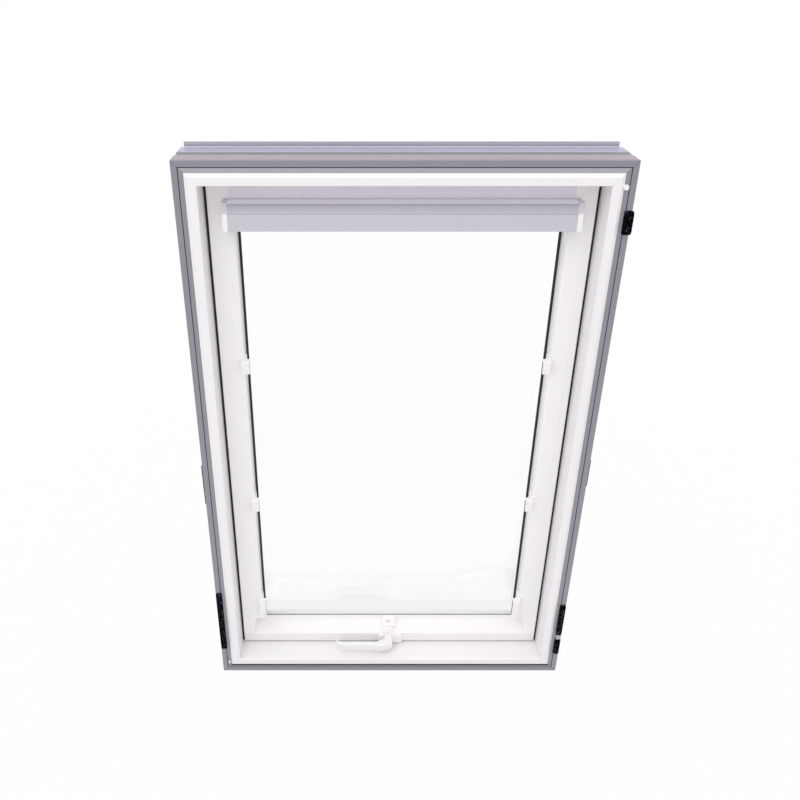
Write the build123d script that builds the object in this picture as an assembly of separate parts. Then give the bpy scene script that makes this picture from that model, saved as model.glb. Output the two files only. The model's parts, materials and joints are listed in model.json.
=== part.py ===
"""Centre-pivot roof window: frame, sash, double glazing, lever handle and roller blind.

The window stands upright. X runs across it, Z up its height, and Y from the room side to
the weather side. The origin is at the middle of the base. Depths are measured from the
room face of the aluminium frame. An inset is measured from the outer edge of a ring,
towards its middle, and a section is a list of (inset, depth) points.
"""
import os
from math import cos, pi, sin
from build123d import *

# Window
WINDOW_WIDTH = 780.0
WINDOW_HEIGHT = 1180.0
FRAME_DEPTH = 108.0

# Aluminium frame profile
OUTER_STRIP = 10.5
GROOVE_WIDTH = 1.6
GROOVE_DEPTH = 6.0
INNER_STRIP = 3.9
FRAME_WALL = 2.5
REAR_LEG_INSET = 41.0
OUTER_CHANNEL = (40.0, 60.0)
OUTER_CHANNEL_DEPTH = 0.6
OUTER_LINE = (12.0, 16.0)
OUTER_LINE_DEPTH = 0.4

# White lining
LINER_GAP = 4.6
LINER_BEVEL = 6.5
LINER_PROUD = 5.0
LINER_INSET = 41.5
LINER_LAP = 7.0
LINER_STEP = 10.0
LINER_ROUND = 2.0
TRIM_SEAL = (0.4, 8.0)
TRIM_LIP = 1.2

# Gasket between frame and sash
GASKET_FOOT = 36.0
GASKET_DEPTH = 5.0
GASKET_RELIEF_JAMB = 0.7
GASKET_RELIEF_ENDS = 1.5

# Weather-side covers of the frame
COVER_SHEET = 1.5
COVER_HEIGHT = 9.5
HOOD_HEIGHT = 11.5
HOOD_LIP = 9.0
HOOD_OVERHANG = 11.0
HOOD_END_GAP = 5.0
HOOD_SLOPE = 4.0
COVER_TOP_GAP = 8.0

# Sash
SASH_GAP_JAMB = 4.8
SASH_GAP_ENDS = 3.0
SASH_DEPTH = 62.0
SASH_STANDOUT = 4.0
REBATE_DEPTH = 24.0
STILE_WIDTH = 46.7
SASH_REBATE_INSET = 28.0
SASH_ROUND = 3.0
RAIL_FACE = 25.0
LEDGE_TOP = 37.5
RISER_WALL = 2.5
LEDGE_END_WIDTH = 19.6
LEDGE_END_TOP = 50.0
LEDGE_END_ROUND = 17.0

# Glazing
PANE_THICKNESS = 4.0
PANE_SPACE = 12.0
PANE_INSET = 32.0
SPACER_WIDTH = 7.0
EDGE_SEAL_WIDTH = 5.0
GLAZING_LIP = 4.5
GLAZING_LIP_PROUD = 1.5
GLAZING_LIP_EDGE = 1.0
GLAZING_SEAT = 2.0
GLAZING_SEAT_GAP = 2.0
OUTER_SEAL_MARGIN = 1.0
SETTING_BLOCK_LENGTH = 80.0
SASH_COVER_SHEET = 2.5
SASH_COVER_CROWN = 3.0
SASH_COVER_CROWN_WIDTH = 14.5
SASH_COVER_INSET = 38.0
DRIP_DROP = 14.0
DRIP_GAP = 1.5
DRIP_SHEET = 1.6

# Centre pivots
PIVOT_SETBACK = 28.0
PIN_RADIUS = 6.0
PIN_LENGTH = 17.0
PIN_TIP_ROOM = 1.0
RUNNING_FIT = 0.05
HINGE_PLATE = 2.0
FRAME_PLATE_SIZE = (34.0, 90.0)
SASH_PLATE_SIZE = (30.0, 80.0)
PLATE_ROUND = 5.0
BUSH_RADIUS = 10.0
BUSH_LENGTH = 13.7
WASHER_RADIUS = 15.0
WASHER_GAP = 0.3
FRAME_PLATE_SCREWS = (30.0,)
SASH_PLATE_SCREWS = (25.0,)

# Screws
SCREW_RADIUS = 1.8
SCREW_HEAD_RADIUS = 3.4
SCREW_HEAD = 1.6
SCREW_LENGTH = 14.0

# Lever handle
HANDLE_X = -3.0
HANDLE_RISE = 16.5
BASE_SIZE = (57.0, 25.5, 8.0)
BASE_SHIFT = 4.5
BASE_ROUND = 5.0
BASE_EDGE = 1.5
LEVER_STANDOUT = 42.5
LEVER_THICKNESS = 11.5
LEVER_HEIGHT = 21.0
LEVER_REACH = 121.0
LEVER_SLANT = 7.0
LEVER_EDGE = 3.0
LEVER_TIP_ROUND = 2.0
GRIP_START = 40.0
NECK_TOP = 26.0
NECK_BEND = 14.0
NECK_BEND_ROUND = 18.0
NECK_FALL = 13.0
NECK_BACK = (21.0, 9.0)
NECK_ROUND = 5.0
HUB_RADIUS = 9.5
HUB_GAP = 0.3
COLLAR_RADIUS = 8.0
COLLAR_LENGTH = 4.0
SPINDLE_SIDE = 7.0
SPINDLE_SOCKET = 14.0
SPINDLE_BORE = 5.2

# Latch under the handle
CASE_HALF_WIDTH = 14.0
CASE_SETBACK = (7.0, 24.0)
CASE_HEIGHT = 25.2
CASE_WALL = 1.2
CRANK_RADIUS = 5.0
CRANK_PIN = 1.8
CRANK_SLOT_PLAY = 0.3
CRANK_CHEEK = 0.8
CAM_SETBACK = (10.0, 14.5)
CAM_RADIUS = 5.8
BOLT_SPAN = (-5.0, 11.0)
BOLT_SETBACK = (16.0, 21.0)
BOLT_HEAD = 1.6
BOLT_RECESS = 0.5
BOLT_PLAY = 0.3
KEEPER_THICKNESS = 1.5
KEEPER_SPAN = (-21.0, 27.0)
KEEPER_SETBACK = (12.5, 30.0)
KEEPER_PLAY = 0.8
KEEPER_SCREW_INSET = 8.0

# Latch housing and button on the ledge. The pad holds the button. The tongue steps
# down from it to the base plate: each step is its start, its end and its height.
PAD_WIDTH = 35.0
PAD_START = 12.0
PAD_RISE = 9.5
HOUSING_WALL = 2.0
TONGUE_WIDTH = 23.0
TONGUE_STEPS = ((5.5, 12.0, 6.5), (0.0, 5.5, 3.5))
BUTTON_RADIUS = 4.5
BUTTON_PLAY = 0.1
BUTTON_SETBACK = 24.0
BUTTON_PROUD = 2.2
BUTTON_LENGTH = 6.0
BUTTON_EDGE = 0.8
BUTTON_BOSS_WALL = 2.0
BUTTON_WELL = 8.0
BUTTON_WELL_FLOOR = 0.5

# Roller blind
BLIND_MARGIN = 39.2
BLIND_TOP_DROP = 32.0
BLIND_HEIGHT = 50.5
BLIND_STANDOUT = 30.0
BLIND_SHEET = 1.6
BLIND_BACK_LIFT = 3.0
COVE_HEIGHT = 19.5
COVE_DEPTH = 3.5
CAP_WIDTH = 9.0
CAP_PROUD = 0.5
ROLLER_SETBACK = 17.0
ROLLER_DROP = 21.5
TUBE_RADIUS = 8.0
TUBE_WALL = 1.2
ROLL_RADIUS = 11.0
ROLL_END_GAP = 8.5
TUBE_END_GAP = 4.5
PLUG_STUB = 30.0
PLUG_FLANGE = 2.5
PLUG_PIN_RADIUS = 3.0
PLUG_PIN_BORE = 6.5
PLUG_PIN_GAP = 0.5
CLOTH_THICKNESS = 0.5
BAR_PLATE = 2.0
BAR_EDGE = 0.9
BAR_FOOT = 13.5
BAR_GAP = 0.3
BAR_CLAMP = 1.2
BAR_CLAMP_HEIGHT = 6.0

# Blind hooks, each with its height above the sash's base and its length
HOOKS = ((111.5, 52.0), (404.5, 33.0), (733.5, 32.0))
HOOK_PLATE = (10.0, 3.0)
HOOK_LEG = 24.0
HOOK_LEG_WALL = 2.5
HOOK_NOSE = (16.0, 9.0, 3.0)
HOOK_TIP = (14.0, 2.5)
HOOK_ROUND = 3.0
HOOK_NOSE_ROUND = 2.0

# Parts on the frame's face and sides
BLOCK_WIDTH = 13.5
BLOCK_PROUD = 4.6
BLOCK_LEG = 5.0
BLOCK_ROUND = 4.0
BLOCK_EDGE = 1.0
LEFT_BLOCK = (72.0, 239.0)
RIGHT_LOWER_BLOCK = (56.0, 103.5)
RIGHT_UPPER_BLOCK = (116.0, 204.0)
RING_MARGIN = 1.5
RING_RECESS = 0.6
CLIP_DROP = (84.0, 126.0)
CLIP_OVERHANG = 3.0
CLIP_WRAP = 8.0
NOTCH_PITCH = 28.0
NOTCH_SIZE = 7.0
NOTCH_DEPTH = 2.2
CLIP_SLOT = (2.4, 26.0, 2.0)
CLIP_SLOT_PITCH = 7.2
WHITE_CAP_PLACE = (18.0, 43.5)
WHITE_CAP_SIZE = (4.6, 4.9)
CORNER_CAP_PLACE = (16.0, 30.5)
CORNER_CAP_SIZE = (2.2, 4.4)
BRACKET_HEIGHT = 62.0
BRACKET_SHEET = 2.0
BRACKET_BACK = 52.0
BRACKET_FOOT = 50.0
BRACKET_REACH = 13.0
BRACKET_LEFT_DROP = 78.0
BRACKET_RIGHT_DROP = 33.0
BRACKET_HOLE_INSET = 6.0
BRACKET_SCREW_DEPTH = 35.0
BRACKET_HOLE_RADIUS = 2.75
BRACKET_HOLE_PITCH = 36.0

# How far a tool that cuts a shape runs past it
OVERRUN = 50.0

# Places worked out from the sizes above
SASH_BACK = FRAME_DEPTH + SASH_STANDOUT
SASH_FACE = SASH_BACK - SASH_DEPTH
SASH_REBATE = SASH_BACK - REBATE_DEPTH
LINER_END = SASH_FACE + LINER_LAP
DEEPEST = FRAME_DEPTH + COVER_HEIGHT + DRIP_GAP + DRIP_SHEET
MIDDLE = (DEEPEST - LINER_PROUD) / 2
STRIP_END = OUTER_STRIP + GROOVE_WIDTH + INNER_STRIP
LINER_START = STRIP_END + LINER_GAP
SASH_HALF_WIDTH = WINDOW_WIDTH / 2 - LINER_INSET - SASH_GAP_JAMB
STILE_WALL = SASH_HALF_WIDTH - STILE_WIDTH
SASH_BOTTOM = LINER_INSET + SASH_GAP_ENDS
SASH_TOP = WINDOW_HEIGHT - LINER_INSET - SASH_GAP_ENDS
PIVOT_Z = (SASH_BOTTOM + SASH_TOP) / 2
PIVOT_DEPTH = SASH_BACK - PIVOT_SETBACK
GLASS_FACE = SASH_REBATE + GLAZING_SEAT
GLASS_BACK = GLASS_FACE + 2 * PANE_THICKNESS + PANE_SPACE
HANDLE_Z = SASH_BOTTOM + HANDLE_RISE
LEVER_FRONT = SASH_FACE - LEVER_STANDOUT
CASE_DEPTHS = tuple(SASH_FACE + setback for setback in CASE_SETBACK)
CAM_DEPTHS = tuple(SASH_FACE + setback for setback in CAM_SETBACK)
BOLT_DEPTHS = tuple(SASH_FACE + setback for setback in BOLT_SETBACK)
KEEPER_DEPTHS = tuple(SASH_FACE + setback for setback in KEEPER_SETBACK)
BUTTON_DEPTH = SASH_FACE + BUTTON_SETBACK
BLIND_HALF_WIDTH = SASH_HALF_WIDTH - BLIND_MARGIN
BLIND_FRONT = SASH_FACE - BLIND_STANDOUT
ROLLER_DEPTH = BLIND_FRONT + ROLLER_SETBACK
BLIND_TOP = SASH_TOP - BLIND_TOP_DROP
BLIND_BOTTOM = BLIND_TOP - BLIND_HEIGHT
COVE_BOTTOM = BLIND_TOP - COVE_HEIGHT
ROLLER_Z = BLIND_TOP - ROLLER_DROP
LEDGE_BACK = SASH_REBATE - RISER_WALL
LEDGE_Z = SASH_BOTTOM + RAIL_FACE
LEDGE_SLOPE = (LEDGE_TOP - RAIL_FACE) / (LEDGE_BACK - SASH_FACE)
FRAME_PLATE_X = WINDOW_WIDTH / 2 - REAR_LEG_INSET


def y_at(depth):
    """Y of a depth measured from the frame's room face."""
    return depth - MIDDLE


def box(x, depth, z):
    """A box between two limits each of X, depth and Z."""
    lower = Vector(x[0], y_at(depth[0]), z[0])
    size = (x[1] - x[0], depth[1] - depth[0], z[1] - z[0])
    return Pos(lower) * Box(*size, align=(Align.MIN, Align.MIN, Align.MIN))


def outline(points):
    """A closed face through the points."""
    return make_face(Polyline(*points, close=True))


def rounded(face, corner, radius):
    """The face with the corner nearest to a point rounded."""
    vertex = face.vertices().sort_by_distance(Vector(corner[0], corner[1], 0))[0]
    return fillet(vertex, radius)


def along_x(face, length):
    """A face drawn in (depth, Z), extruded both ways along X."""
    plane = Plane(origin=(0, y_at(0), 0), x_dir=(0, 1, 0), z_dir=(1, 0, 0))
    return extrude(plane * face, length / 2, both=True)


def rod_x(x, depth, z, radius):
    """A round rod along X between two X limits."""
    middle = ((x[0] + x[1]) / 2, y_at(depth), z)
    return Pos(*middle) * Rot(0, 90, 0) * Cylinder(radius, abs(x[1] - x[0]))


def rod_y(x, depth, z, radius):
    """A round rod along Y between two depths."""
    middle = (x, y_at((depth[0] + depth[1]) / 2), z)
    return Pos(*middle) * Rot(90, 0, 0) * Cylinder(radius, depth[1] - depth[0])


def side_plane(side, half_width, bottom, top):
    """The plane of a ring's side, with X as its inset and Y as its depth."""
    middle = (bottom + top) / 2
    origins = {"head": (0, top), "sill": (0, bottom),
               "left": (-half_width, middle), "right": (half_width, middle)}
    inward = {"head": (0, 0, -1), "sill": (0, 0, 1), "left": (1, 0, 0), "right": (-1, 0, 0)}
    normal = {"head": (1, 0, 0), "sill": (-1, 0, 0), "left": (0, 0, 1), "right": (0, 0, -1)}
    x, z = origins[side]
    return Plane(origin=(x, y_at(0), z), x_dir=inward[side], z_dir=normal[side])


def mitre(side, half_width, bottom, top):
    """A wedge that holds one side of a ring between its 45 degree joints."""
    out = OVERRUN
    deep = min(half_width, (top - bottom) / 2) - 1
    z = {"head": (top + out, top - deep), "sill": (bottom - out, bottom + deep)}
    x = {"left": (-half_width - out, -half_width + deep), "right": (half_width + out, half_width - deep)}
    if side in z:
        points = [(-half_width - out, z[side][0]), (half_width + out, z[side][0]),
                  (half_width - deep, z[side][1]), (-half_width + deep, z[side][1])]
    else:
        points = [(x[side][0], bottom - out), (x[side][0], top + out),
                  (x[side][1], top - deep), (x[side][1], bottom + deep)]
    plane = Plane(origin=(0, 0, 0), x_dir=(1, 0, 0), z_dir=(0, -1, 0))
    return extrude(plane * outline(points), 2 * DEEPEST, both=True)


def ring_side(side, face, half_width, bottom, top):
    """One mitred side of a rectangular ring with the given section."""
    plane = side_plane(side, half_width, bottom, top)
    length = max(2 * half_width, top - bottom) + 2 * OVERRUN
    bar = extrude(plane * face, length / 2, both=True)
    return bar & mitre(side, half_width, bottom, top)


def frame_side(side, face):
    """One mitred side of the frame's ring."""
    return ring_side(side, face, WINDOW_WIDTH / 2, 0, WINDOW_HEIGHT)


def sash_side(side, face):
    """One mitred side of the sash's ring."""
    return ring_side(side, face, SASH_HALF_WIDTH, SASH_BOTTOM, SASH_TOP)


def joined(shapes):
    """All the shapes as one."""
    whole = Part()
    for shape in shapes:
        whole += shape
    return whole


def screw(tip, head):
    """A countersunk screw from its tip to the middle of its head."""
    axis = Vector(*head) - Vector(*tip)
    plane = Plane(origin=tip, z_dir=axis)
    length = axis.length - SCREW_HEAD
    shank = Pos(0, 0, length / 2) * Cylinder(SCREW_RADIUS, length)
    cone = Pos(0, 0, length + SCREW_HEAD / 2) * Cone(SCREW_RADIUS, SCREW_HEAD_RADIUS, SCREW_HEAD)
    return plane * (shank + cone)


def room(inset, depth):
    """A rectangular face between two insets and two depths."""
    return outline([(inset[0], depth[0]), (inset[1], depth[0]), (inset[1], depth[1]), (inset[0], depth[1])])


def frame_rail_face():
    """Section of the aluminium frame: a front leg with a groove, and a wide rear leg."""
    groove_end = OUTER_STRIP + GROOVE_WIDTH
    channel_start, channel_end = OUTER_CHANNEL
    line_start, line_end = OUTER_LINE
    grooves = [(0, channel_end), (OUTER_CHANNEL_DEPTH, channel_end), (OUTER_CHANNEL_DEPTH, channel_start),
               (0, channel_start), (0, line_end), (OUTER_LINE_DEPTH, line_end - OUTER_LINE_DEPTH),
               (OUTER_LINE_DEPTH, line_start + OUTER_LINE_DEPTH), (0, line_start)]
    outer = outline([(0, 0), (OUTER_STRIP, 0), (OUTER_STRIP, GROOVE_DEPTH), (groove_end, GROOVE_DEPTH),
                     (groove_end, 0), (STRIP_END, 0), (STRIP_END, LINER_END), (GASKET_FOOT, LINER_END),
                     (GASKET_FOOT, LINER_END + GASKET_DEPTH), (REAR_LEG_INSET, LINER_END + GASKET_DEPTH),
                     (REAR_LEG_INSET, FRAME_DEPTH), (0, FRAME_DEPTH)] + grooves)
    wall = OUTER_CHANNEL_DEPTH + FRAME_WALL
    front = GROOVE_DEPTH + FRAME_WALL
    rear = LINER_END + FRAME_WALL
    back = FRAME_DEPTH - FRAME_WALL
    web = GASKET_FOOT / 2
    front_room = room((wall, STRIP_END - FRAME_WALL), (front, LINER_END - FRAME_WALL))
    outer_room = room((wall, web), (rear, back))
    inner_room = room((web + FRAME_WALL, REAR_LEG_INSET - FRAME_WALL), (rear + GASKET_DEPTH, back))
    return outer - front_room - outer_room - inner_room


def liner_face():
    """Section of the white lining: a board with a bevelled front edge."""
    points = [(STRIP_END, LINER_STEP), (LINER_START, LINER_STEP), (LINER_START, 0),
              (LINER_START + LINER_BEVEL, -LINER_PROUD), (LINER_INSET, -LINER_PROUD),
              (LINER_INSET, LINER_END), (STRIP_END, LINER_END)]
    return rounded(outline(points), (LINER_INSET, -LINER_PROUD), LINER_ROUND)


def gasket_face(reach):
    """Section of the frame gasket: a foot in its seat and a round lip."""
    front = (LINER_INSET, LINER_END)
    crest = (LINER_INSET + reach, LINER_END + GASKET_DEPTH / 2)
    back = (LINER_INSET, LINER_END + GASKET_DEPTH)
    foot = Polyline(back, (GASKET_FOOT, back[1]), (GASKET_FOOT, LINER_END), front)
    return make_face([foot, ThreePointArc(front, crest, back)])


def frame_nodes():
    """Frame profiles, lining and the two black gaskets.

    On the head and the jambs a lip of the frame covers the trim seal.
    """
    rail = frame_rail_face()
    lipped = rail + room((STRIP_END, LINER_START), (0, TRIM_LIP))
    liner = liner_face()
    trim = room((STRIP_END, LINER_START), TRIM_SEAL)
    covered_trim = room((STRIP_END, LINER_START), (TRIM_LIP, TRIM_SEAL[1]))
    names = {"head": "head", "sill": "sill", "left": "jamb_left", "right": "jamb_right"}
    nodes = {}
    for side, name in names.items():
        nodes["frame_" + name] = frame_side(side, rail if side == "sill" else lipped)
        nodes["liner_" + name] = frame_side(side, liner)
    across = SASH_GAP_JAMB - GASKET_RELIEF_JAMB
    upright = SASH_GAP_ENDS - GASKET_RELIEF_ENDS
    reach = {"head": upright, "sill": upright, "left": across, "right": across}
    nodes["frame_gasket"] = joined(frame_side(side, gasket_face(reach[side])) for side in names)
    nodes["liner_trim_seal"] = joined(frame_side(side, trim if side == "sill" else covered_trim)
                                      for side in names)
    return nodes


def cover_face():
    """Section of a jamb or sill cover: a folded channel on the weather side."""
    top = FRAME_DEPTH + COVER_HEIGHT
    inner = REAR_LEG_INSET - COVER_SHEET
    return outline([(0, FRAME_DEPTH), (0, top), (REAR_LEG_INSET, top), (REAR_LEG_INSET, FRAME_DEPTH),
                    (inner, FRAME_DEPTH), (inner, top - COVER_SHEET),
                    (COVER_SHEET, top - COVER_SHEET), (COVER_SHEET, FRAME_DEPTH)])


def cover_nodes():
    """Weather-side covers of the frame. The head's hood laps over the sash."""
    top = FRAME_DEPTH + HOOD_HEIGHT
    brow = REAR_LEG_INSET + HOOD_OVERHANG
    slope = COVER_SHEET / HOOD_HEIGHT * HOOD_SLOPE
    lip = FRAME_DEPTH + COVER_SHEET
    hood = outline([(-HOOD_LIP, FRAME_DEPTH), (-HOOD_LIP, lip), (slope, lip), (HOOD_SLOPE, top), (brow, top),
                    (brow, top - COVER_SHEET), (HOOD_SLOPE + COVER_SHEET, top - COVER_SHEET),
                    (COVER_SHEET + slope, FRAME_DEPTH)])
    plane = side_plane("head", WINDOW_WIDTH / 2, 0, WINDOW_HEIGHT)
    nodes = {"cover_head": extrude(plane * hood, WINDOW_WIDTH / 2 - HOOD_END_GAP, both=True)}
    under_hood = box((-WINDOW_WIDTH, WINDOW_WIDTH), (0, 2 * DEEPEST), (-1, WINDOW_HEIGHT - COVER_TOP_GAP))
    for side, name in (("sill", "sill"), ("left", "jamb_left"), ("right", "jamb_right")):
        nodes["cover_" + name] = frame_side(side, cover_face()) & under_hood
    return nodes


def stile_face():
    """Section of a stile or the head rail, with the glass rebate at its back."""
    face = outline([(0, SASH_FACE), (STILE_WIDTH, SASH_FACE), (STILE_WIDTH, SASH_REBATE),
                    (SASH_REBATE_INSET, SASH_REBATE), (SASH_REBATE_INSET, SASH_BACK), (0, SASH_BACK)])
    face = rounded(face, (0, SASH_FACE), SASH_ROUND)
    return rounded(face, (STILE_WIDTH, SASH_FACE), SASH_ROUND)


def bottom_rail_face():
    """Section of the bottom rail: a low face, a sloping ledge and a riser at the glass."""
    face = outline([(0, SASH_FACE), (RAIL_FACE, SASH_FACE), (LEDGE_TOP, LEDGE_BACK),
                    (STILE_WIDTH, LEDGE_BACK), (STILE_WIDTH, SASH_REBATE), (SASH_REBATE_INSET, SASH_REBATE),
                    (SASH_REBATE_INSET, SASH_BACK), (0, SASH_BACK)])
    face = rounded(face, (0, SASH_FACE), SASH_ROUND)
    return rounded(face, (RAIL_FACE, SASH_FACE), SASH_ROUND)


def ledge_end_cut():
    """The rounded pockets in which the ledge runs on into both stiles."""
    outer = STILE_WALL + LEDGE_END_WIDTH
    top = LEDGE_Z + LEDGE_END_TOP
    face = outline([(-outer, SASH_BOTTOM), (outer, SASH_BOTTOM), (outer, top), (-outer, top)])
    face = rounded(rounded(face, (outer, top), LEDGE_END_ROUND), (-outer, top), LEDGE_END_ROUND)
    plane = Plane(origin=(0, y_at(SASH_FACE), 0), x_dir=(1, 0, 0), z_dir=(0, -1, 0))
    pocket = extrude(plane * face, -(LEDGE_BACK - SASH_FACE)) + extrude(plane * face, SASH_ROUND)
    ahead = SASH_FACE - 2 * SASH_ROUND
    under = outline([(ahead, 0), (ahead, LEDGE_Z), (SASH_FACE, LEDGE_Z), (LEDGE_BACK, ledge_z(LEDGE_BACK)),
                     (LEDGE_BACK, 0)])
    return pocket - along_x(under, WINDOW_WIDTH)


def ledge_z(depth):
    """Height of the sloping ledge at a depth."""
    return LEDGE_Z + (depth - SASH_FACE) * LEDGE_SLOPE


def case_box(wall):
    """The latch case's outer box for wall 0, or its room for a wall."""
    x = (HANDLE_X - CASE_HALF_WIDTH + wall, HANDLE_X + CASE_HALF_WIDTH - wall)
    back = CASE_DEPTHS[1] if wall == 0 else BOLT_DEPTHS[1] + BOLT_PLAY
    return box(x, (CASE_DEPTHS[0] + wall, back), (SASH_BOTTOM + wall, SASH_BOTTOM + CASE_HEIGHT - wall))


def hinge_plate(side, x, thickness, size):
    """A rounded steel plate on the pivot's axis, from X inwards."""
    face = RectangleRounded(size[0], size[1], PLATE_ROUND)
    plane = Plane(origin=(side * x, y_at(PIVOT_DEPTH), PIVOT_Z), x_dir=(0, 1, 0), z_dir=(side, 0, 0))
    return extrude(plane * face, -thickness)


def plate_screws(side, x, into, distances):
    """Countersunk screws above and below the pivot, at each distance from it."""
    parts = Part()
    for distance in distances:
        for up in (-1, 1):
            place = (y_at(PIVOT_DEPTH), PIVOT_Z + up * distance)
            parts += screw((side * (x + into * SCREW_LENGTH), *place), (side * x, *place))
    return parts


def hinge_nodes():
    """Centre pivots: frame plates with pins, sash plates with bushes, and washers."""
    nodes = {}
    washers = Part()
    frame_screws = Part()
    sash_screws = Part()
    for side, name in ((-1, "left"), (1, "right")):
        face = FRAME_PLATE_X - HINGE_PLATE
        pin = rod_x((side * face, side * (face - PIN_LENGTH)), PIVOT_DEPTH, PIVOT_Z, PIN_RADIUS)
        frame_screws_here = plate_screws(side, face, 1, FRAME_PLATE_SCREWS)
        nodes["hinge_frame_" + name] = (hinge_plate(side, FRAME_PLATE_X, HINGE_PLATE, FRAME_PLATE_SIZE)
                                        + pin) - frame_screws_here
        bush_x = SASH_HALF_WIDTH - HINGE_PLATE
        bush = rod_x((side * bush_x, side * (bush_x - BUSH_LENGTH)), PIVOT_DEPTH, PIVOT_Z, BUSH_RADIUS)
        bore = rod_x((side * SASH_HALF_WIDTH, side * (bush_x - BUSH_LENGTH)), PIVOT_DEPTH, PIVOT_Z,
                     PIN_RADIUS + RUNNING_FIT)
        sash_screws_here = plate_screws(side, SASH_HALF_WIDTH, -1, SASH_PLATE_SCREWS)
        nodes["hinge_sash_" + name] = (hinge_plate(side, SASH_HALF_WIDTH, HINGE_PLATE, SASH_PLATE_SIZE)
                                       + bush) - bore - sash_screws_here
        inner = SASH_HALF_WIDTH + WASHER_GAP
        washers += (rod_x((side * inner, side * face), PIVOT_DEPTH, PIVOT_Z, WASHER_RADIUS)
                    - rod_x((side * inner, side * face), PIVOT_DEPTH, PIVOT_Z, PIN_RADIUS))
        frame_screws += frame_screws_here
        sash_screws += sash_screws_here
    nodes["hinge_washers"] = washers
    return nodes, frame_screws, sash_screws


def sash_nodes(sash_screws):
    """Head rail, bottom rail and stiles, cut for the hinges, the latch and the ledge's ends."""
    ends = ledge_end_cut()
    nodes = {"sash_head": sash_side("head", stile_face())}
    rail = sash_side("sill", bottom_rail_face()) - case_box(0)
    rail -= rod_y(HANDLE_X, (SASH_FACE, CASE_DEPTHS[0]), HANDLE_Z, SPINDLE_BORE)
    nodes["sash_bottom_rail"] = rail
    for side, name in ((-1, "left"), (1, "right")):
        stile = sash_side(name, stile_face()) - ends
        stile -= hinge_plate(side, SASH_HALF_WIDTH, HINGE_PLATE, SASH_PLATE_SIZE)
        bush_end = SASH_HALF_WIDTH - HINGE_PLATE - BUSH_LENGTH
        tip = FRAME_PLATE_X - HINGE_PLATE - PIN_LENGTH - PIN_TIP_ROOM
        stile -= rod_x((side * SASH_HALF_WIDTH, side * bush_end), PIVOT_DEPTH, PIVOT_Z, BUSH_RADIUS)
        stile -= rod_x((side * SASH_HALF_WIDTH, side * min(tip, bush_end)), PIVOT_DEPTH, PIVOT_Z,
                       PIN_RADIUS + PIN_TIP_ROOM)
        nodes["sash_stile_" + name] = stile - sash_screws
    return nodes


def pane(depth):
    """A sheet of glass from a depth on."""
    half = SASH_HALF_WIDTH - PANE_INSET
    upright = (SASH_BOTTOM + PANE_INSET, SASH_TOP - PANE_INSET)
    return box((-half, half), (depth, depth + PANE_THICKNESS), upright)


def flat_ring(inset, depth):
    """A rectangular ring in the sash between two insets and two depths."""
    parts = []
    for edge in inset:
        half = SASH_HALF_WIDTH - edge
        parts.append(box((-half, half), depth, (SASH_BOTTOM + edge, SASH_TOP - edge)))
    return parts[0] - parts[1]


def glazing_gasket_face(lip):
    """Section of the inner glazing gasket, with a visible lip if it has one."""
    seat = SASH_REBATE_INSET + GLAZING_SEAT_GAP
    if lip == 0:
        return room((seat, STILE_WIDTH), (SASH_REBATE, GLASS_FACE))
    crest = SASH_REBATE - GLAZING_LIP_PROUD
    return outline([(seat, SASH_REBATE), (STILE_WIDTH, SASH_REBATE), (STILE_WIDTH, crest),
                    (STILE_WIDTH + GLAZING_LIP_EDGE, crest),
                    (STILE_WIDTH + lip, GLASS_FACE - GLAZING_LIP_EDGE), (STILE_WIDTH + lip, GLASS_FACE),
                    (seat, GLASS_FACE)])


def glazing_nodes():
    """Double glazing, its gaskets and setting blocks, and the sash's weather-side covers."""
    cavity = (GLASS_FACE + PANE_THICKNESS, GLASS_FACE + PANE_THICKNESS + PANE_SPACE)
    nodes = {"pane_inner": pane(GLASS_FACE), "pane_outer": pane(cavity[1])}
    seal_end = PANE_INSET + EDGE_SEAL_WIDTH
    nodes["edge_seal"] = flat_ring((PANE_INSET, seal_end), cavity)
    nodes["spacer_bar"] = flat_ring((seal_end, seal_end + SPACER_WIDTH), cavity)
    lips = {"sill": 0, "head": GLAZING_LIP, "left": GLAZING_LIP, "right": GLAZING_LIP}
    nodes["glazing_gasket"] = joined(sash_side(side, glazing_gasket_face(lip)) for side, lip in lips.items())
    outer_seal = (PANE_INSET + OUTER_SEAL_MARGIN, SASH_COVER_INSET - OUTER_SEAL_MARGIN)
    nodes["outer_glazing_seal"] = flat_ring(outer_seal, (GLASS_BACK, SASH_BACK))
    blocks = Part()
    low = (SASH_BOTTOM + SASH_REBATE_INSET, SASH_BOTTOM + PANE_INSET)
    high = (SASH_TOP - PANE_INSET, SASH_TOP - SASH_REBATE_INSET)
    for side in (-1, 1):
        x = side * SASH_HALF_WIDTH / 2
        span = (x - SETTING_BLOCK_LENGTH / 2, x + SETTING_BLOCK_LENGTH / 2)
        for z in (low, high):
            blocks += box(span, (GLASS_FACE, GLASS_BACK), z)
    nodes["setting_blocks"] = blocks
    crown = SASH_BACK + SASH_COVER_CROWN
    crown_start = SASH_COVER_INSET - SASH_COVER_CROWN_WIDTH
    slope = [(crown_start, crown), (SASH_COVER_INSET - SASH_COVER_SHEET, crown),
             (SASH_COVER_INSET, SASH_BACK + SASH_COVER_SHEET / 2), (SASH_COVER_INSET, SASH_BACK)]
    plain = outline([(0, SASH_BACK), (0, SASH_BACK + SASH_COVER_SHEET)] + slope)
    flap = FRAME_DEPTH + COVER_HEIGHT + DRIP_GAP
    drip = outline([(0, SASH_BACK), (0, flap), (-DRIP_DROP, flap), (-DRIP_DROP, flap + DRIP_SHEET),
                    (DRIP_DROP / 2, flap + DRIP_SHEET)] + slope)
    for side, name in (("head", "head"), ("left", "left"), ("right", "right")):
        nodes["sash_cover_" + name] = sash_side(side, plain)
    nodes["sash_cover_bottom"] = sash_side("sill", drip)
    return nodes


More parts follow.
